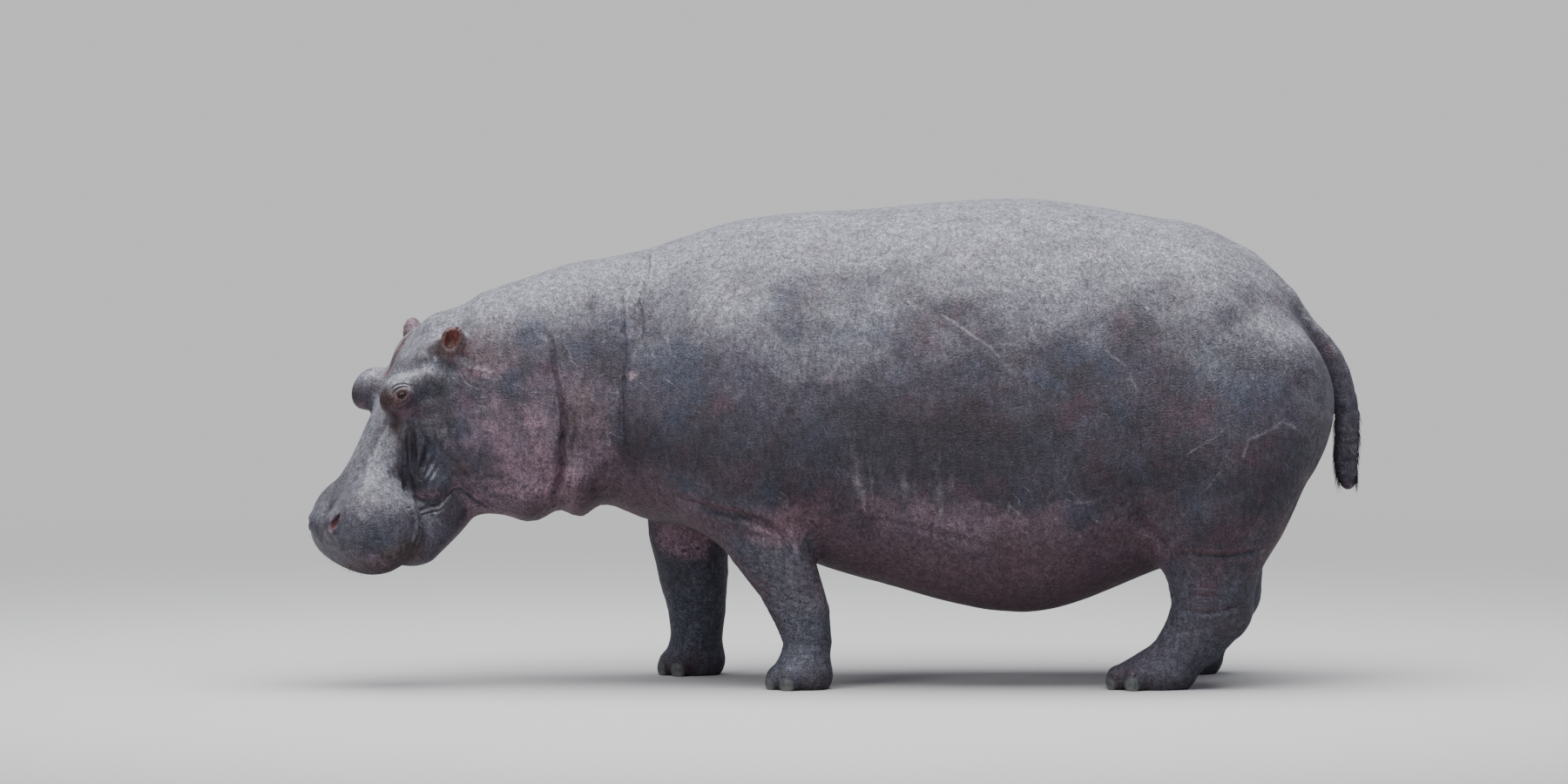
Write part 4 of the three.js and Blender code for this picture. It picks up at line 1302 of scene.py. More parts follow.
@dataclass(frozen=True)
class HideFinish:
    """Bare hide: grey-mauve, pale with dust and painted highlights above, pink in its folds and slate on the
    legs and lips, with painted shade in its furrows, creases and hollows.
    """

    mauve: Triple = (0.116, 0.101, 0.138)
    dark: Triple = (0.060, 0.049, 0.070)
    plum: Triple = (0.105, 0.056, 0.084)
    blue: Triple = (0.070, 0.084, 0.134)
    # pale dust, also used as painted highlight
    dusty_and_lit: Triple = (0.405, 0.408, 0.470)
    pink: Triple = (0.560, 0.350, 0.440)
    slate: Triple = (0.150, 0.168, 0.225)
    rust: Triple = (0.360, 0.105, 0.066)
    ochre: Triple = (0.160, 0.112, 0.084)
    pale: Triple = (0.460, 0.430, 0.460)
    # shade: darker skin and painted shade
    shade: Triple = (0.030, 0.0245, 0.035)
    # groove: painted shade in the furrows and creases
    groove: Triple = (0.024, 0.0196, 0.028)
    lid: Triple = (0.048, 0.020, 0.020)

    def groove_shading(self, on: HidePatterns) -> Socket:
        """Gives how much painted shade darkens the furrows and creases."""
        lines = on.math("ADD", on.share(on.falling, 0.30), on.share(on.rising, 0.22))
        lines = on.math("ADD", lines, on.share(on.level, on.stain[SLATE], 0.5))
        lines = on.math("ADD", lines, on.share(on.hatch, 0.18))
        lines = on.share(lines, on.math("SUBTRACT", 1.0, on.stain[RUST], clamp=True))
        return on.math("ADD", lines, on.share(on.stain[CREASE], 0.75), clamp=True)

    def colour(self, on: HidePatterns) -> Socket:
        """Lays the hide's colours over each other, painted highlights and painted shade among them."""
        stain, cloud, smear, fine = on.stain, on.cloud, on.smear, on.fine
        flushed = on.ramp(cloud, 0.25, 0.55, (0.6, 1.0)), on.ramp(smear, 0.2, 0.5, (0.8, 1))
        dusted_and_lit = on.ramp(cloud, 0.2, 0.62, (0.6, 1.0)), on.ramp(smear, 0.2, 0.6, (0.8, 1))
        layers = (
            (on.ramp(on.broad, 0.36, 0.66), self.dark),
            (on.ramp(on.drift, 0.50, 0.66, (0.0, 0.7)), self.blue),
            (on.ramp(on.drift, 0.48, 0.34, (0.0, 0.8)), self.plum),
            (on.share(stain[SLATE], 0.9), self.slate),
            (on.share(stain[OCHRE], on.ramp(cloud, 0.25, 0.6)), self.ochre),
            (on.share(stain[BLUSH], *flushed), self.pink),
            (on.share(stain[BLUSH], on.spots, 0.8), self.dark),
            # pale dust, also painted highlight
            (on.share(stain[DUST], *dusted_and_lit), self.dusty_and_lit),
            (on.share(stain[DUST], on.pits, 0.5), self.mauve),
            (on.scratched, self.pale),
            (on.share(stain[SCAR], on.ramp(fine, 0.25, 0.5, (0.5, 1.0))), self.pale),
            (on.share(stain[RUST], on.ramp(fine, 0.25, 0.6, (0.7, 1.0))), self.rust),
            # darker skin and painted shade
            (on.share(stain[DEEP], on.ramp(cloud, 0.2, 0.6, (0.6, 1.0)), 0.8), self.shade),
            # painted shade in the furrows and creases
            (self.groove_shading(on), self.groove),
            (stain[LID], self.lid),
        )
        colour = (*self.mauve, 1.0)
        for factor, tone in layers:
            colour = on.mix(factor, colour, (*tone, 1.0))
        # tone that varies at random, partly painted glints
        grain_and_glints = on.ramp(on.grain, 0.28, 0.72, (0.60, 1.42))
        grain_and_glints = on.math("MULTIPLY", grain_and_glints, on.ramp(fine, 0.30, 0.70, (0.80, 1.20)))
        grain_and_glints = on.math("MULTIPLY", grain_and_glints, on.ramp(smear, 0.28, 0.72, (0.76, 1.26)))
        return on.mix(1.0, colour, grain_and_glints, "MULTIPLY")

    def roughness(self, on: HidePatterns) -> Socket:
        """Gives the roughness: smoother where it is wet, rougher under dust and mud."""
        rough = on.ramp(on.grain, 0.30, 0.70, (0.56, 0.34))
        rough = on.math("SUBTRACT", rough, on.math("MULTIPLY", on.stain[WET], 0.17))
        rough = on.math("ADD", rough, on.math("MULTIPLY", on.stain[DUST], 0.05))
        return on.math("ADD", rough, on.math("MULTIPLY", on.stain[OCHRE], 0.3), clamp=True)

    def relief(self, on: HidePatterns) -> Socket:
        """Gives the normal, from the height of every pattern in metres."""
        lifts = (
            (on.falling, -0.0010), (on.rising, -0.0007), (on.level, -0.0008),
            (on.grain, 0.0010), (on.hatch, -0.0005), (on.fine, 0.0016),
            (on.smear, 0.0012), (on.cloud, 0.0040), (on.scratched, 0.0012),
        )
        parts = [on.math("MULTIPLY", pattern, lift) for pattern, lift in lifts]
        height = on.math("ADD", parts[0], on.math("ADD", parts[1], parts[2]))
        for part in parts[3:]:
            height = on.math("ADD", height, part)
        return on.add("Bump", {"Height": height, "Strength": 1.0, "Distance": 1.0}).outputs[0]

    def material(self) -> Material:
        """Builds the material."""
        material, wiring, shader = new_material("hide")
        on = HidePatterns(wiring.tree)
        wet = on.share(on.stain[WET], on.ramp(on.fine, 0.35, 0.6, (0.25, 0.95)))
        on.feed(shader, Base_Color=self.colour(on), Roughness=self.roughness(on), Normal=self.relief(on),
                Coat_Weight=wet, Coat_Roughness=0.20, Specular_IOR_Level=0.5)
        return material


# ------------ skin


FLESH = (
    "trunk", "neck", "tail", "head", "muzzle", "lower_jaw", "ear_left", "ear_right",
    *(f"{leg}_{part}" for leg in LEGS for part in ("leg", "foot")),
)
NAILS = tuple(f"{leg}_nail_{number}" for leg in LEGS for number in range(1, 5))


@dataclass(frozen=True)
class Detail:
    """A place where the skin's faces are smaller."""

    centre: Triple
    radii: Triple
    cell: float


HEAD_DETAILS = (
    Detail((80, 0, -200), (520, 330, 400), 10),
    Detail((4, 168, 2), (76, 66, 66), 4.5),
    Detail((4, 176, 6), (46, 46, 40), 2.3),
    Detail((452, 98, -58), (60, 46, 48), 4.5),
    Detail((455, 102, -60), (46, 36, 36), 2.4),
    Detail((-226, 178, -40), (80, 64, 66), 4.5),
    Detail((-146, 150, -30), (54, 40, 42), 4.5),
    Detail((190, 150, -240), (130, 70, 110), 5.5),
)
BODY_DETAILS = (
    *(Detail((*leg.foot.middle, 60), (210, 160, 100), 9) for leg in LEGS.values()),
    Detail((-120, -300, 330), (190, 170, 240), 9),
    Detail((1200, -330, 330), (230, 150, 200), 9),
    Detail((1645, 0, 840), (90, 80, 300), 9),
)


# the eye, the ear and the nostril, each with how far round it the mesh is evened out
RELAXED = (((4, 172, 4), 58), ((-228, 182, -40), 76), ((453, 102, -58), 56))


@dataclass
class Cover:
    """How much of each stain every point of the skin carries."""

    p: Points
    q: Points  # the same points in the head's frame
    up: np.ndarray  # how far each one faces up

    def __post_init__(self) -> None:
        """Starts with none."""
        self.strength = {stain: np.zeros(len(self.p)) for stain in Stain}

    def lay(self, stain: Stain, values: np.ndarray) -> None:
        """Adds a stain where it is stronger than what is there."""
        self.strength[stain] = np.maximum(self.strength[stain], values)


@dataclass
class Skin:
    """The one skin over all the flesh, with its folds, wrinkles and markings."""

    anatomy: Anatomy
    cell: float = 21.0
    finest: int = 3  # how many times a face may be halved
    swell: float = 0.6  # how far each solid grows before they are melted into one
    creases: list[Crease] = field(default_factory=list)
    marks: list[tuple[bool, Patch | Trail]] = field(default_factory=list)

    def lay_creases(self) -> list[Crease]:
        """Lays every crease on the skin, in the animal's own frame and on both its sides."""
        shape, there = self.anatomy.shape(pitted=False), self.anatomy.head.frame()
        laid = []
        for creases, on_head in ((HEAD_CREASES, True), (BODY_CREASES, False)):
            for crease in creases:
                for side in Side:
                    path = np.array(crease.path, float) * (1, side.value, 1)
                    path = moved(there, path) if on_head else path
                    wobble = 0.3 * crease.width if on_head else 6
                    laid.append(replace(crease, path=surfaced(path, shape, wobble)))
        return laid

    def lay_marks(self) -> list[tuple[bool, Patch | Trail]]:
        """Lays every trail on the skin, and gives each mark with whether it is in the head's frame."""
        shape, there = self.anatomy.shape(pitted=False), np.array(self.anatomy.head.frame())
        marks = [(True, mark) for mark in HEAD_PATCHES] + [(False, mark) for mark in BODY_PATCHES]
        for number, (on_head, mark) in enumerate(marks):
            if isinstance(mark, Trail):
                path = moved(there, np.array(mark.path, float)) if on_head else np.array(mark.path, float)
                path = np.array(surfaced(path, shape, 0.5 * mark.width))
                path = moved(np.linalg.inv(there), path) if on_head else path
                marks[number] = on_head, replace(mark, path=tuple(map(tuple, path)))
        return marks

    def rough_out(self) -> Piece:
        """Melts copies of the solids into one closed mesh, with the eyes and nails filling their pits."""
        whole = copies_of([*FLESH, *NAILS, "eye_left", "eye_right"], "skin")
        apply_modifier(whole, "DISPLACE", strength=self.swell * MM, mid_level=0.0)
        apply_modifier(whole, "REMESH", mode="VOXEL", voxel_size=self.cell * MM)
        return whole

    def wanted(self, p: Points) -> np.ndarray:
        """Gives the size of face that each place needs, in millimetres."""
        size = np.full(len(p), self.cell)
        q = self.anatomy.in_head(p)
        for places, details in ((q, HEAD_DETAILS), (p, BODY_DETAILS)):
            for detail in details:
                off = (places - detail.centre) / detail.radii
                size = np.where((off**2).sum(1) < 1, np.minimum(size, detail.cell), size)
        lines = [(c.path, 2.2 * c.width + 3, max(0.75 * c.width, 2.6)) for c in self.creases]
        trails = [mark for on_head, mark in self.marks if isinstance(mark, Trail) and not on_head]
        lines += [(trail.path, 1.6 * trail.width + 3, 4.2) for trail in trails]
        for path, reach, cell in lines:
            near = beside(p, path, reach)
            if near.any():
                off, _ = along_path(p[near], path)
                size[near] = np.where(off < reach, np.minimum(size[near], cell), size[near])
        return size

    def refine(self, skin: Piece) -> None:
        """Halves the faces that are too large for their place, round by round."""
        for _ in range(self.finest):
            count = len(skin.data.polygons)
            centres, areas = np.empty(count * 3), np.empty(count)
            skin.data.polygons.foreach_get("center", centres)
            skin.data.polygons.foreach_get("area", areas)
            own = self.anatomy.to_own(centres.reshape(-1, 3))
            chosen = np.sqrt(areas) / MM > 1.4 * self.wanted(own)
            with editing(skin, "FACE", chosen):
                bpy.ops.mesh.subdivide(number_cuts=1, ngon=False)
            LOG.info("skin: %d faces", len(skin.data.polygons))

    def press_on(self, skin: Piece, rounds: int) -> None:
        """Settles the whole mesh on the animal's field, without its hollows."""
        p = settle(self.anatomy.shape(pitted=False), self.anatomy.to_own(places_of(skin)), rounds, reach=25)
        place(skin, self.anatomy.to_model(p))

    def shape(self, skin: Piece) -> None:
        """Settles the mesh on the animal's field, opens its hollows and presses its folds in."""
        anatomy = self.anatomy
        self.press_on(skin, 3)
        self.relax(skin, anatomy.shape(pitted=False), 5)
        p = self.open_pits(anatomy.to_own(places_of(skin)))
        place(skin, anatomy.to_model(p))
        self.relax(skin, anatomy.shape(), 6)
        p = anatomy.to_own(places_of(skin))
        normals = normals_of(skin)
        move = sum(crease.press(p) for crease in self.creases)
        move = move + sum(rings.press(p) for rings in LIMB_RINGS)
        quiet = 1 - 0.8 * self.near_head(p)
        move = move + quiet * (4.0 * waves(p, 260, 2, 1) + 1.6 * waves(p, 70, 2, 2))
        move = move + self.round_ear(p) * 2.2 * waves(p, 11, 1, 3)
        move = move * smooth_step(-5, 25, p[:, 2])
        p = p + normals * move[:, None]
        p[:, 2] = np.maximum(p[:, 2], 0)
        place(skin, anatomy.to_model(p))

    def relax(self, skin: Piece, shape: Field, rounds: int) -> None:
        """Evens out the mesh round the eyes, ears and nostrils, and keeps it on the field, round by round."""
        q = self.anatomy.in_head(self.anatomy.to_own(places_of(skin)))
        chosen = np.zeros(len(q), bool)
        for centre, reach in RELAXED:
            chosen |= np.linalg.norm(q - centre, axis=1) < reach
        for _ in range(rounds):
            with editing(skin, "VERT", chosen):
                bpy.ops.mesh.vertices_smooth(factor=0.5, repeat=3)
            p = self.anatomy.to_own(places_of(skin))
            p[chosen] = settle(shape, p[chosen], rounds=3, reach=8)
            place(skin, self.anatomy.to_model(p))

    def near_head(self, p: Points) -> np.ndarray:
        """Gives 1 on the head and 0 away from it."""
        q = self.anatomy.in_head(p)
        off = np.linalg.norm((q - (110, 0, -190)) / (500, 330, 400), axis=1)
        return smooth_step(1.15, 0.85, off)

    def round_ear(self, p: Points) -> np.ndarray:
        """Gives 1 on the knobbly skin ahead of the ear's root and 0 away from it."""
        off = (self.anatomy.in_head(p) - (-146, 150, -30)) / (46, 50, 36)
        return smooth_step(1.1, 0.6, np.linalg.norm(off, axis=1))

    def open_pits(self, p: Points) -> Points:
        """Sinks the eyes' openings, the nostrils and the ears' hollows into the head."""
        anatomy, there = self.anatomy, self.anatomy.head.frame()
        q = moved(there.inverted(), p)
        near = np.all(np.abs(q - (110, 0, -190)) < (480, 330, 330), axis=1)
        left = np.abs(q) * (0, 1, 0) + q * (1, 0, 1)
        sunk = left.copy()
        for pit in anatomy.pits():
            sunk[near] = pit.sink(sunk[near])
        sunk[:, 1] *= np.where(q[:, 1] < 0, -1, 1)
        result = np.where(near[:, None], moved(there, sunk), p)
        result[near] = settle(anatomy.shape(), result[near], rounds=3, reach=4)
        return result

    def mark(self, skin: Piece) -> None:
        """Writes how much of each stain every point carries."""
        p = self.anatomy.to_own(places_of(skin))
        cover = Cover(p, self.anatomy.in_head(p), normals_of(skin)[:, 2])
        for seed, (on_head, mark) in enumerate(self.marks):
            cover.lay(mark.stain, mark.cover(cover.q if on_head else p, seed))
        self.mark_above(cover)
        self.mark_below(cover)
        self.mark_ears(cover)
        # painted shade in the creases and in the wrinkles round the limbs
        for crease in self.creases:
            cover.lay(CREASE, crease.shade(p))
        cover.lay(CREASE, 0.6 * sum(rings.press(p) / -rings.depth for rings in LIMB_RINGS))
        for stain, values in cover.strength.items():
            write_attribute(skin, stain.value, np.clip(values, 0, 1))

    def mark_above(self, cover: Cover) -> None:
        """Dusts the back and the top of the head, and paints highlights on their upward-facing skin."""
        p, up = cover.p, cover.up
        # dust on the high back, lighter the more it faces up: partly painted top light
        height = p[:, 2] + 60 * waves(p, 200, 3, 21)
        dust = smooth_step(0.16, 0.76, up + 0.3 * waves(p, 120, 3, 22)) * smooth_step(800, 1200, height)
        # painted highlight on the head's upward-facing skin
        brow = 0.95 * self.near_head(p) * smooth_step(0.10, 0.62, up + 0.25 * waves(p, 60, 3, 24))
        brow = brow * (1 - 0.55 * smooth_step(200, 360, cover.q[:, 0]))
        cover.lay(DUST, np.maximum(dust, brow))

    def mark_below(self, cover: Cover) -> None:
        """Colours the underside pink, from the chin to the groin, and darkens it with painted shade."""
        p, head = cover.p, self.near_head(cover.p)
        under = smooth_step(-0.2, -0.75, cover.up + 0.2 * waves(p, 90, 3, 23))
        chin = head * smooth_step(230, 380, cover.q[:, 0])
        under = under * smooth_step(150, 260, p[:, 2]) * (1 - 0.8 * chin)
        cover.lay(BLUSH, (0.45 + 0.3 * head) * under)
        cover.lay(RUST, 0.14 * under * (1 - head))
        # painted shade under the body
        cover.lay(DEEP, 0.5 * under * (1 - 0.5 * head))

    def mark_ears(self, cover: Cover) -> None:
        """Reddens the ears' hollows and browns their rims."""
        ear = self.anatomy.in_ear(cover.q)
        middle = np.array((self.anatomy.ear.length, 0, 12))
        bowl = np.linalg.norm((ear - middle) / (37, 25, 24), axis=1)
        rim = smooth_step(0.85, 1.15, bowl) * smooth_step(2.0, 1.5, bowl)
        cover.lay(RUST, 0.85 * smooth_step(1.2, 0.8, bowl))
        cover.lay(OCHRE, rim)
        cover.strength[DUST] = cover.strength[DUST] * (1 - 0.8 * rim)
        cover.lay(BLUSH, 0.35 * rim)

    def build(self, material: Material) -> Piece:
        """Builds the skin and dresses it in its hide."""
        self.creases, self.marks = self.lay_creases(), self.lay_marks()
        skin = self.rough_out()
        LOG.info("skin: roughed out, %d faces", len(skin.data.polygons))
        self.press_on(skin, 2)
        self.refine(skin)
        self.shape(skin)
        self.mark(skin)
        with editing(skin):
            bpy.ops.mesh.quads_convert_to_tris()
        shade_smooth(skin)
        skin.data.materials.append(material)
        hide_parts(*FLESH)
        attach(skin, "root")
        return skin


# ------------ eyes


@dataclass(frozen=True)
class EyeFinish:
    """A wet dark-brown eye with an oval pupil."""

    pupil: Triple = (0.004, 0.003, 0.003)
    iris: Triple = (0.060, 0.024, 0.012)
    rim: Triple = (0.014, 0.007, 0.006)
    white: Triple = (0.080, 0.040, 0.034)

    def material(self) -> Material:
        """Builds the material, from the eye's two ring attributes."""
        material, wiring, shader = new_material("eye")
        gaze, opening = wiring.mask("gaze"), wiring.mask("opening")
        where = wiring.add("TexCoord").outputs["Object"]
        fibres = wiring.noise(where, 900.0, 3)
        iris = wiring.mix(wiring.ramp(fibres, 0.35, 0.7), (*self.iris, 1), (*self.rim, 1))
        iris = wiring.mix(wiring.ramp(gaze, 0.72, 1.0), iris, (*self.rim, 1))
        colour = wiring.mix(wiring.ramp(gaze, 1.0, 1.12), iris, (*self.white, 1))
        colour = wiring.mix(wiring.ramp(opening, 1.05, 0.9), colour, (*self.pupil, 1))
        rough = wiring.ramp(fibres, 0.2, 0.8, (0.1, 0.22))
        wiring.feed(shader, Base_Color=colour, Roughness=rough, Coat_Weight=0.3, Coat_Roughness=0.05,
                    Specular_IOR_Level=0.3)
        return material


@dataclass
class Eyes:
    """The two eyeballs, each with a raised cornea."""

    anatomy: Anatomy
    iris: float = 10.5
    pupil: Pair = (5.6, 3.6)
    bulge: float = 1.6

    def build_one(self, side: Side, material: Material) -> Piece:
        """Builds the eyeball of one side and dresses it."""
        node = "eye_left" if side is Side.LEFT else "eye_right"
        radius = self.anatomy.head.eyeball
        low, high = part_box(node)
        turned = self.anatomy.head.eye_frame().to_3x3()
        turned = self.anatomy.head.frame().to_3x3() @ Matrix.Diagonal((1, side.value, 1)) @ turned
        deselect()
        bpy.ops.mesh.primitive_uv_sphere_add(segments=48, ring_count=32, radius=radius * MM)
        ball = bpy.context.object
        ball.name = ball.data.name = f"eyeball_{side.name.lower()}"
        local = places_of(ball) / MM
        out = np.hypot(local[:, 0], local[:, 1])
        front = (local[:, 2] > 0) & (out < self.iris)
        local[front, 2] += self.bulge * (1 - (out[front] / self.iris) ** 2)
        write_attribute(ball, "gaze", np.where(local[:, 2] > 0, out / self.iris, 2.0))
        oval = np.hypot(local[:, 0] / self.pupil[0], local[:, 1] / self.pupil[1])
        write_attribute(ball, "opening", np.where(local[:, 2] > 0, oval, 3.0))
        place(ball, (local @ np.array(turned).T) * MM + np.array((low + high) / 2))
        if turned.determinant() < 0:
            with editing(ball):
                bpy.ops.mesh.flip_normals()
        shade_smooth(ball)
        ball.data.materials.append(material)
        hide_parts(node)
        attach(ball, "root")
        return ball

    def build(self, material: Material) -> list[Piece]:
        """Builds both eyeballs."""
        return [self.build_one(side, material) for side in Side]


# ------------ nails


@dataclass(frozen=True)
class NailFinish:
    """Dull grey horn with upright streaks, worn pale at its lower edge."""

    horn: Triple = (0.150, 0.160, 0.165)
    streak: Triple = (0.075, 0.075, 0.078)
    worn: Triple = (0.260, 0.260, 0.250)

    def material(self) -> Material:
        """Builds the material."""
        material, wiring, shader = new_material("nail")
        where = wiring.add("TexCoord").outputs["Object"]
        streaks = wiring.noise(wiring.stretched(where, (1, 1, 0.08)), 260.0, 4)
        colour = wiring.mix(wiring.ramp(streaks, 0.35, 0.65), (*self.streak, 1), (*self.horn, 1))
        height = wiring.add("SeparateXYZ", {"Vector": where}).outputs["Z"]
        blotch = wiring.math("MULTIPLY", wiring.noise(where, 60.0, 3), 0.02)
        low = wiring.ramp(wiring.math("SUBTRACT", height, blotch), 0.012, -0.008)
        colour = wiring.mix(low, colour, (*self.worn, 1))
        rough = wiring.ramp(streaks, 0.3, 0.7, (0.42, 0.6))
        lift = wiring.math("MULTIPLY", streaks, 0.0012)
        bump = wiring.add("Bump", {"Height": lift, "Strength": 0.8, "Distance": 1.0})
        wiring.feed(shader, Base_Color=colour, Roughness=rough, Normal=bump.outputs[0])
        return material


@dataclass
class Nails:
    """The sixteen hoof-like toenails."""

    thick: float = 15
    half: float = 27
    tall: float = 31
    height: float = 24
    sole: float = 0.4  # where it is cut off flat, above the ground

    def build_one(self, leg: str, number: int, material: Material) -> Piece:
        """Builds and dresses one nail, a shield curved round the toe's tip, flat on the ground."""
        node = f"{leg}_nail_{number}"
        low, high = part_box(node)
        turn = -math.radians(LEGS[leg].foot.toes[number - 1])
        middle = (low + high) / 2
        deselect()
        bpy.ops.mesh.primitive_uv_sphere_add(segments=28, ring_count=18, radius=1)
        nail = bpy.context.object
        nail.name = nail.data.name = f"nail_{leg}_{number}"
        local = places_of(nail)
        up, across = local[:, 2].copy(), local[:, 1].copy()
        local[:, 1] *= 1 - 0.10 * np.maximum(up, 0) + 0.05 * np.maximum(-up, 0)
        local[:, 0] = np.where(local[:, 0] < 0, local[:, 0] * (1 - 0.18 * np.maximum(up, 0)), local[:, 0])
        ridge = 0.03 * np.cos(9 * across) * (local[:, 0] < -0.2)
        local = local * (self.thick + 1.0, self.half - 0.5, self.tall) - np.stack(
            [ridge * self.thick, 0 * ridge, 0 * ridge], axis=1
        )
        spin = np.array(Matrix.Rotation(turn, 3, "Z"))
        place(nail, (local @ spin.T) * MM + np.array((middle.x, middle.y, self.height * MM)))
        with editing(nail):
            cut = {"plane_co": (0, 0, self.sole * MM), "plane_no": (0, 0, 1)}
            bpy.ops.mesh.bisect(**cut, clear_inner=True, use_fill=True)
        bpy.ops.object.shade_smooth_by_angle(angle=math.radians(50))
        nail.data.materials.append(material)
        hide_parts(node)
        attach(nail, "root")
        return nail

    def build(self, material: Material) -> list[Piece]:
        """Builds the nails of all four feet."""
        return [self.build_one(leg, number, material) for leg in LEGS for number in range(1, 5)]


# ------------ bristles


@dataclass(frozen=True)
class BristleFinish:
    """Stiff hair, darker at its root."""

    name: str
    root: Triple
    tip: Triple

    def material(self) -> Material:
        """Builds the material."""
        material, wiring, shader = new_material(self.name)
        where = wiring.add("TexCoord").outputs["Object"]
        along = wiring.mask("along")
        wander = wiring.math("MULTIPLY", wiring.math("SUBTRACT", wiring.noise(where, 70.0, 2), 0.5), 0.8)
        share = wiring.ramp(wiring.math("ADD", along, wander), 0.1, 0.9)
        colour = wiring.mix(share, (*self.root, 1), (*self.tip, 1))
        wiring.feed(shader, Base_Color=colour, Roughness=wiring.ramp(along, 0, 1, (0.55, 0.4)))
        return material


@dataclass
class Bristles:
    """A sparse coat of stiff hairs over one part of the skin, as one joined mesh."""

    anatomy: Anatomy
    name: str
    roots: Points  # in the animal's own frame
    lies: np.ndarray  # where each one points
    bends: np.ndarray  # and where its tip turns to
    length: Pair
    thickness: float
    unwrapped: np.ndarray  # each root's place on the unwrapped skin, from 0 to 1
    seed: int

    def one(self) -> tuple[np.ndarray, list[tuple[int, ...]]]:
        """Models one bristle along Z, a unit long and a unit thick, and gives its points and its faces."""
        deselect()
        bpy.ops.mesh.primitive_cone_add(vertices=3, radius1=1, radius2=0.15, depth=1, location=(0, 0, 0.5))
        hair = bpy.context.object
        bpy.ops.object.transform_apply(location=True)
        for height in (0.34, 0.67):
            with editing(hair):
                bpy.ops.mesh.bisect(plane_co=(0, 0, height), plane_no=(0, 0, 1))
        faces = [tuple(face.vertices) for face in hair.data.polygons]
        points = places_of(hair)
        bpy.data.objects.remove(hair)
        return points, faces

    def build(self, slot: str, material: Material) -> Piece:
        """Plants a copy of the bristle at every root, as one dressed mesh."""
        rng = np.random.default_rng(self.seed)
        template, faces = self.one()
        count, each = len(self.roots), len(template)
        lie = self.lies / np.linalg.norm(self.lies, axis=1, keepdims=True)
        side = np.cross(lie, rng.normal(size=(count, 3)))
        side /= np.linalg.norm(side, axis=1, keepdims=True)
        other = np.cross(lie, side)
        length = rng.uniform(*self.length, count)[:, None, None]
        thick = self.thickness * rng.uniform(0.7, 1.2, count)[:, None, None]
        x, y, z = (template[None, :, axis, None] for axis in range(3))
        p = self.roots[:, None] - 1.5 * lie[:, None] + thick * (x * side[:, None] + y * other[:, None])
        p = p + length * (z * lie[:, None] + z**2 * self.bends[:, None])
        mesh = bpy.data.meshes.new(self.name)
        shifted = [tuple(v + each * n for v in face) for n in range(count) for face in faces]
        mesh.from_pydata(self.anatomy.to_model(p.reshape(-1, 3)), [], shifted)
        coat = bpy.data.objects.new(self.name, mesh)
        bpy.context.scene.collection.objects.link(coat)
        write_attribute(coat, "along", np.tile(template[:, 2], count))
        layer = mesh.uv_layers.new(name="OFBake")
        corners = np.empty(len(mesh.loops), int)
        mesh.loops.foreach_get("vertex_index", corners)
        patch = 0.003 * np.stack([0.5 + 0.25 * template[:, 0], template[:, 2]], axis=1)
        flat = self.unwrapped[corners // each] * 0.99 + patch[corners % each]
        layer.data.foreach_set("uv", flat.ravel())
        shade_smooth(coat)
        coat.data.materials.append(material)
        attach(coat, "root")
        return coat


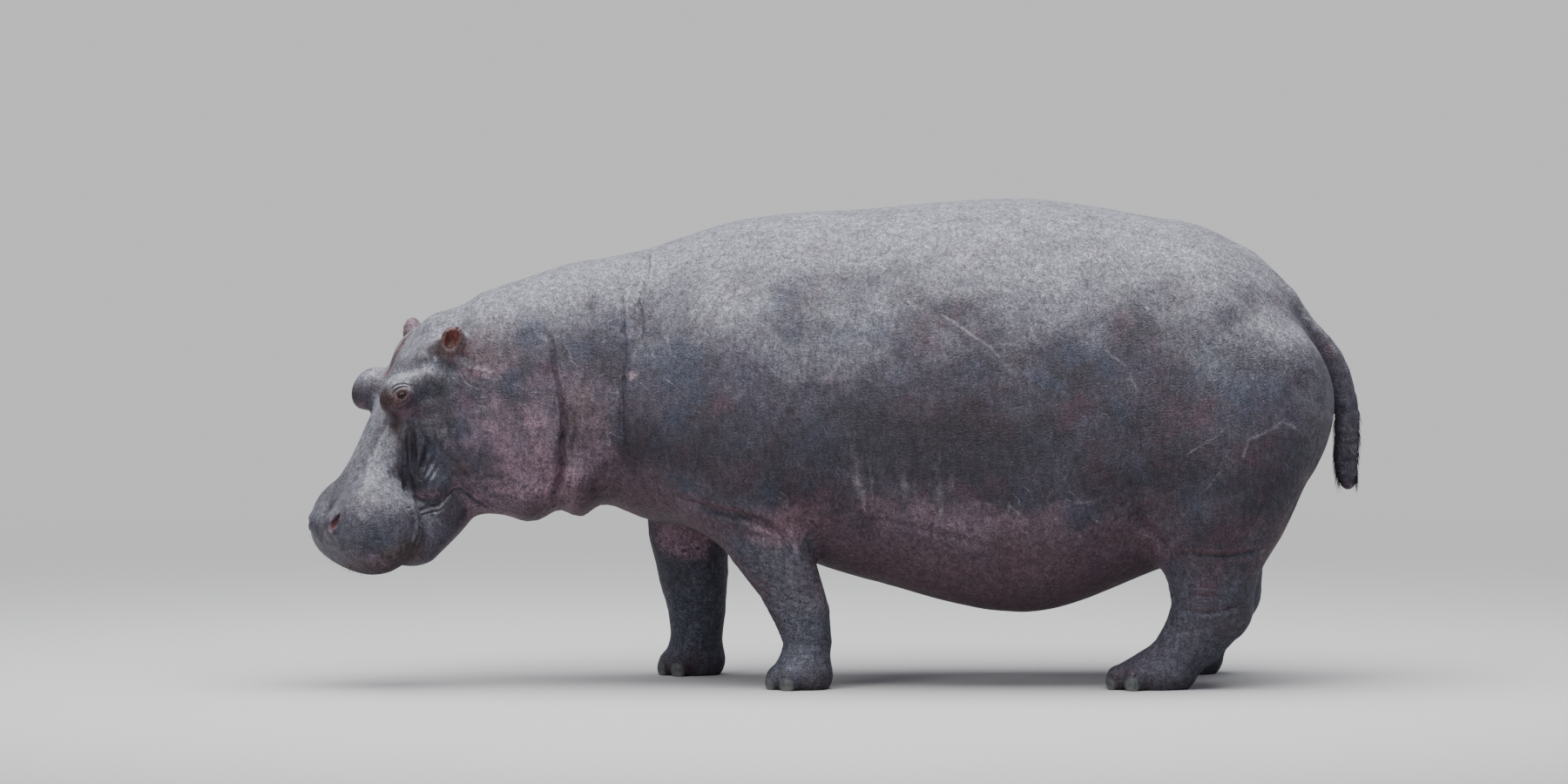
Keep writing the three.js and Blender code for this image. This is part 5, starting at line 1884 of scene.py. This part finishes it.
@dataclass
class Coat:
    """The animal's few hairs: on its muzzle, in its ears and along its tail."""

    anatomy: Anatomy
    skin: Field
    seed: int = 5

    def normals(self, p: Points) -> np.ndarray:
        """Gives the skin's outward directions at points on it."""
        slope = slope_of(self.skin, p, self.skin(p), 0.8)
        return slope / np.maximum(np.linalg.norm(slope, axis=1, keepdims=True), 1e-6)

    def from_head(self, q: Points) -> Points:
        """Turns points of the head's frame into the animal's own."""
        return moved(self.anatomy.head.frame(), q)

    def muzzle(self, count: int = 330) -> Bristles:
        """Scatters short whiskers over the lips and the snout's front."""
        rng = np.random.default_rng(self.seed)
        way = rng.normal(size=(count, 3)) * (0.8, 1.0, 1.0) + (0.9, 0, -0.15)
        way /= np.linalg.norm(way, axis=1, keepdims=True)
        q = np.array((400, 0, -180)) + way * (120, 200, 150)
        q = q[q[:, 0] > 330]
        p = settle(self.skin, self.from_head(q), rounds=6, reach=40)
        q = moved(self.anatomy.head.frame().inverted(), p)
        keep = (np.abs(self.skin(p)) < 1) & (q[:, 2] > -245) & (q[:, 0] > 300)
        p, q = p[keep], q[keep]
        normals = self.normals(p)
        fall = 0.5 * (normals * 0.2 + np.array((0, 0, -0.45)) + 0.15 * rng.normal(size=p.shape))
        angle = np.arctan2(q[:, 1], q[:, 2] + 170)
        flat = np.stack([0.5 + angle / (2 * np.pi), np.clip((q[:, 0] + 370) / 1000, 0, 1)], axis=1)
        way = normals + 0.25 * rng.normal(size=p.shape)
        return Bristles(self.anatomy, "muzzle_bristles", p, way, fall, (7, 18), 0.45, flat, self.seed + 1)

    def ears(self, count: int = 110) -> Bristles:
        """Sets a fringe round both ears' cups."""
        rng = np.random.default_rng(self.seed + 2)
        ear = self.anatomy.ear
        turned = np.array(ear.frame().to_3x3())
        parts = []
        for side in Side:
            angle = rng.uniform(-2.4, 2.4, count)
            spread = rng.uniform(0.72, 1.12, count)
            out = np.stack([np.cos(angle), np.sin(angle), 0 * angle], axis=1)
            local = out * (40, 28, 0) * spread[:, None] + (ear.length, 0, 12)
            way = out * 0.8 + (0.1, 0, 0.75) + 0.25 * rng.normal(size=local.shape)
            q, way = moved(ear.frame(), local), way @ turned.T
            flip = np.array((1, side.value, 1))
            across = 0.25 + 0.5 * (side is Side.LEFT) + 0.08 * local[:, 1] / 30
            flat = np.stack([across, 0.1 + local[:, 0] / 600], 1)
            way = self.from_head(way * flip) - self.from_head(0 * way)
            parts.append((self.from_head(q * flip), way, flat))
        p, way, flat = (np.concatenate(part) for part in zip(*parts))
        p = settle(self.skin, p, rounds=3, reach=8)
        keep = np.abs(self.skin(p)) < 1.5
        p, way, flat = p[keep], way[keep], flat[keep]
        bend = 0.12 * rng.normal(size=p.shape)
        return Bristles(self.anatomy, "ear_fringe", p, way, bend, (5, 13), 0.35, flat, self.seed + 3)

    def tail(self, count: int = 420) -> Bristles:
        """Sets a thin brush along the lower half of the tail."""
        rng = np.random.default_rng(self.seed + 4)
        height = 640 + 230 * rng.uniform(0, 1, count) ** 1.6
        joints = np.array(self.anatomy.body.tail)[::-1]
        x, radius = (np.interp(height, joints[:, 2], joints[:, axis]) for axis in (0, 3))
        turn = rng.choice((0.0, np.pi), count) + 0.45 * rng.normal(size=count)
        p = np.stack([x + radius * np.cos(turn), radius * np.sin(turn), height], axis=1)
        p = settle(self.skin, p, rounds=3, reach=20)
        normals = self.normals(p)
        down = np.array((0, 0, -1.0))
        low = smooth_step(880, 640, p[:, 2])[:, None]
        flat = np.stack([0.5 + turn / (4 * np.pi), np.clip(p[:, 2] / 1200, 0, 1)], axis=1)
        way, bend = 0.35 * normals + (0.8 + low) * down, (0.1 + 0.3 * low) * down
        flat = np.clip(flat, 0, 0.99)
        return Bristles(self.anatomy, "tail_bristles", p, way, bend, (12, 34), 0.8, flat, self.seed + 5)

    def build(self) -> list[Piece]:
        """Builds the bristles of every part."""
        pale = BristleFinish("whisker", (0.10, 0.07, 0.06), (0.42, 0.36, 0.30)).material()
        black = BristleFinish("tail_hair", (0.02, 0.018, 0.02), (0.05, 0.045, 0.045)).material()
        red = BristleFinish("ear_hair", (0.32, 0.17, 0.12), (0.62, 0.48, 0.40)).material()
        return [
            self.muzzle().build("hide", pale),
            self.ears().build("ear", red),
            self.tail().build("hide", black),
        ]


# ------------ studio


@dataclass
class Studio:
    """The camera, the pale floor and backdrop, and the soft lights over them."""

    anatomy: Anatomy
    aim: Pair = (-139, 925)  # X and Z of the view's middle, in the animal's own frame
    away: float = 60.0
    rise: float = 4.0  # degrees
    lens: float = 432.0
    floor_shown: float = 0.80
    floor_lit: float = 0.34
    background: Triple = (0.70, 0.70, 0.715)
    sky: Triple = (0.250, 0.258, 0.285)

    def add_camera(self) -> None:
        """Adds the camera, looking level with the animal's side."""
        target = Vector(self.anatomy.to_model(np.array([[self.aim[0], 0, self.aim[1]]]))[0])
        rise = math.radians(self.rise)
        bpy.ops.object.camera_add(location=target + self.away * Vector((0, -math.cos(rise), math.sin(rise))),
                                  rotation=(math.pi / 2 - rise, 0, 0))
        camera = bpy.context.object
        camera.data.lens, camera.data.clip_end = self.lens, 200
        bpy.context.scene.camera = camera

    def add_floor(self) -> None:
        """Adds a wide floor that fades into the pale background."""
        deselect()
        bpy.ops.mesh.primitive_plane_add(size=400, location=(0, 0, 0))
        floor = bpy.context.object
        floor.name = "floor"
        material, wiring, shader = new_material("floor")
        seen = wiring.add("LightPath").outputs["Is Camera Ray"]
        lit, shown = ((v, v, v, 1.0) for v in (self.floor_lit, self.floor_shown))
        wiring.feed(shader, Base_Color=wiring.mix(seen, lit, shown), Roughness=0.9, Specular_IOR_Level=0.0)
        where = wiring.add("TexCoord").outputs["Object"]
        far = wiring.add("VectorMath", {0: where}, operation="LENGTH").outputs["Value"]
        fade = wiring.math("MULTIPLY", wiring.ramp(far, 2.2, 7.5), seen)
        plain = wiring.add("Emission", {"Color": (*self.background, 1.0), "Strength": 1.0})
        blend = wiring.add("MixShader", {0: fade, 1: shader.outputs[0], 2: plain.outputs[0]})
        wiring.feed(material.node_tree.nodes["Material Output"], Surface=blend.outputs[0])
        floor.data.materials.append(material)

    def add_lamp(self, name: str, at: Triple, size: Pair, power: float) -> None:
        """Adds a soft lamp that shines at the animal's middle."""
        deselect()
        direction = Vector((0, 0, 0.7)) - Vector(at)
        turn = direction.to_track_quat("-Z", "Y").to_euler()
        bpy.ops.object.light_add(type="AREA", location=at, rotation=turn)
        lamp = bpy.context.object
        lamp.name = name
        lamp.data.shape = "RECTANGLE"
        lamp.data.size, lamp.data.size_y = size
        lamp.data.energy = power

    def light(self) -> None:
        """Lights the animal, mostly from above."""
        world = bpy.data.worlds.new("studio")
        bpy.context.scene.world = world
        world.use_nodes = True
        wiring = Wiring(world.node_tree)
        seen = wiring.add("LightPath").outputs["Is Camera Ray"]
        colour = wiring.mix(seen, (*self.sky, 1), (*self.background, 1))
        wiring.feed(world.node_tree.nodes["Background"], Color=colour)
        self.add_lamp("overhead", (0.0, -0.8, 6.5), (9, 7), 800)
        self.add_lamp("front", (-6.0, -8.0, 5.0), (4, 3), 210)

    def build(self) -> None:
        """Sets up the studio."""
        self.add_camera()
        self.add_floor()
        self.light()


def main() -> None:
    """Builds the pieces in order and reports each one."""
    logging.basicConfig(level=logging.INFO, format="%(name)s: %(message)s")
    anatomy = Anatomy()
    Studio(anatomy).build()
    LOG.info("studio set up")
    skin = Skin(anatomy).build(HideFinish().material())
    LOG.info("skin: %d points, %d triangles", len(skin.data.vertices), len(skin.data.polygons))
    for piece in (
        *Eyes(anatomy).build(EyeFinish().material()),
        *Nails().build(NailFinish().material()),
        *Coat(anatomy, anatomy.shape()).build(),
    ):
        LOG.info("%s: %d faces", piece.name, len(piece.data.polygons))


if __name__ == "__main__":
    main()
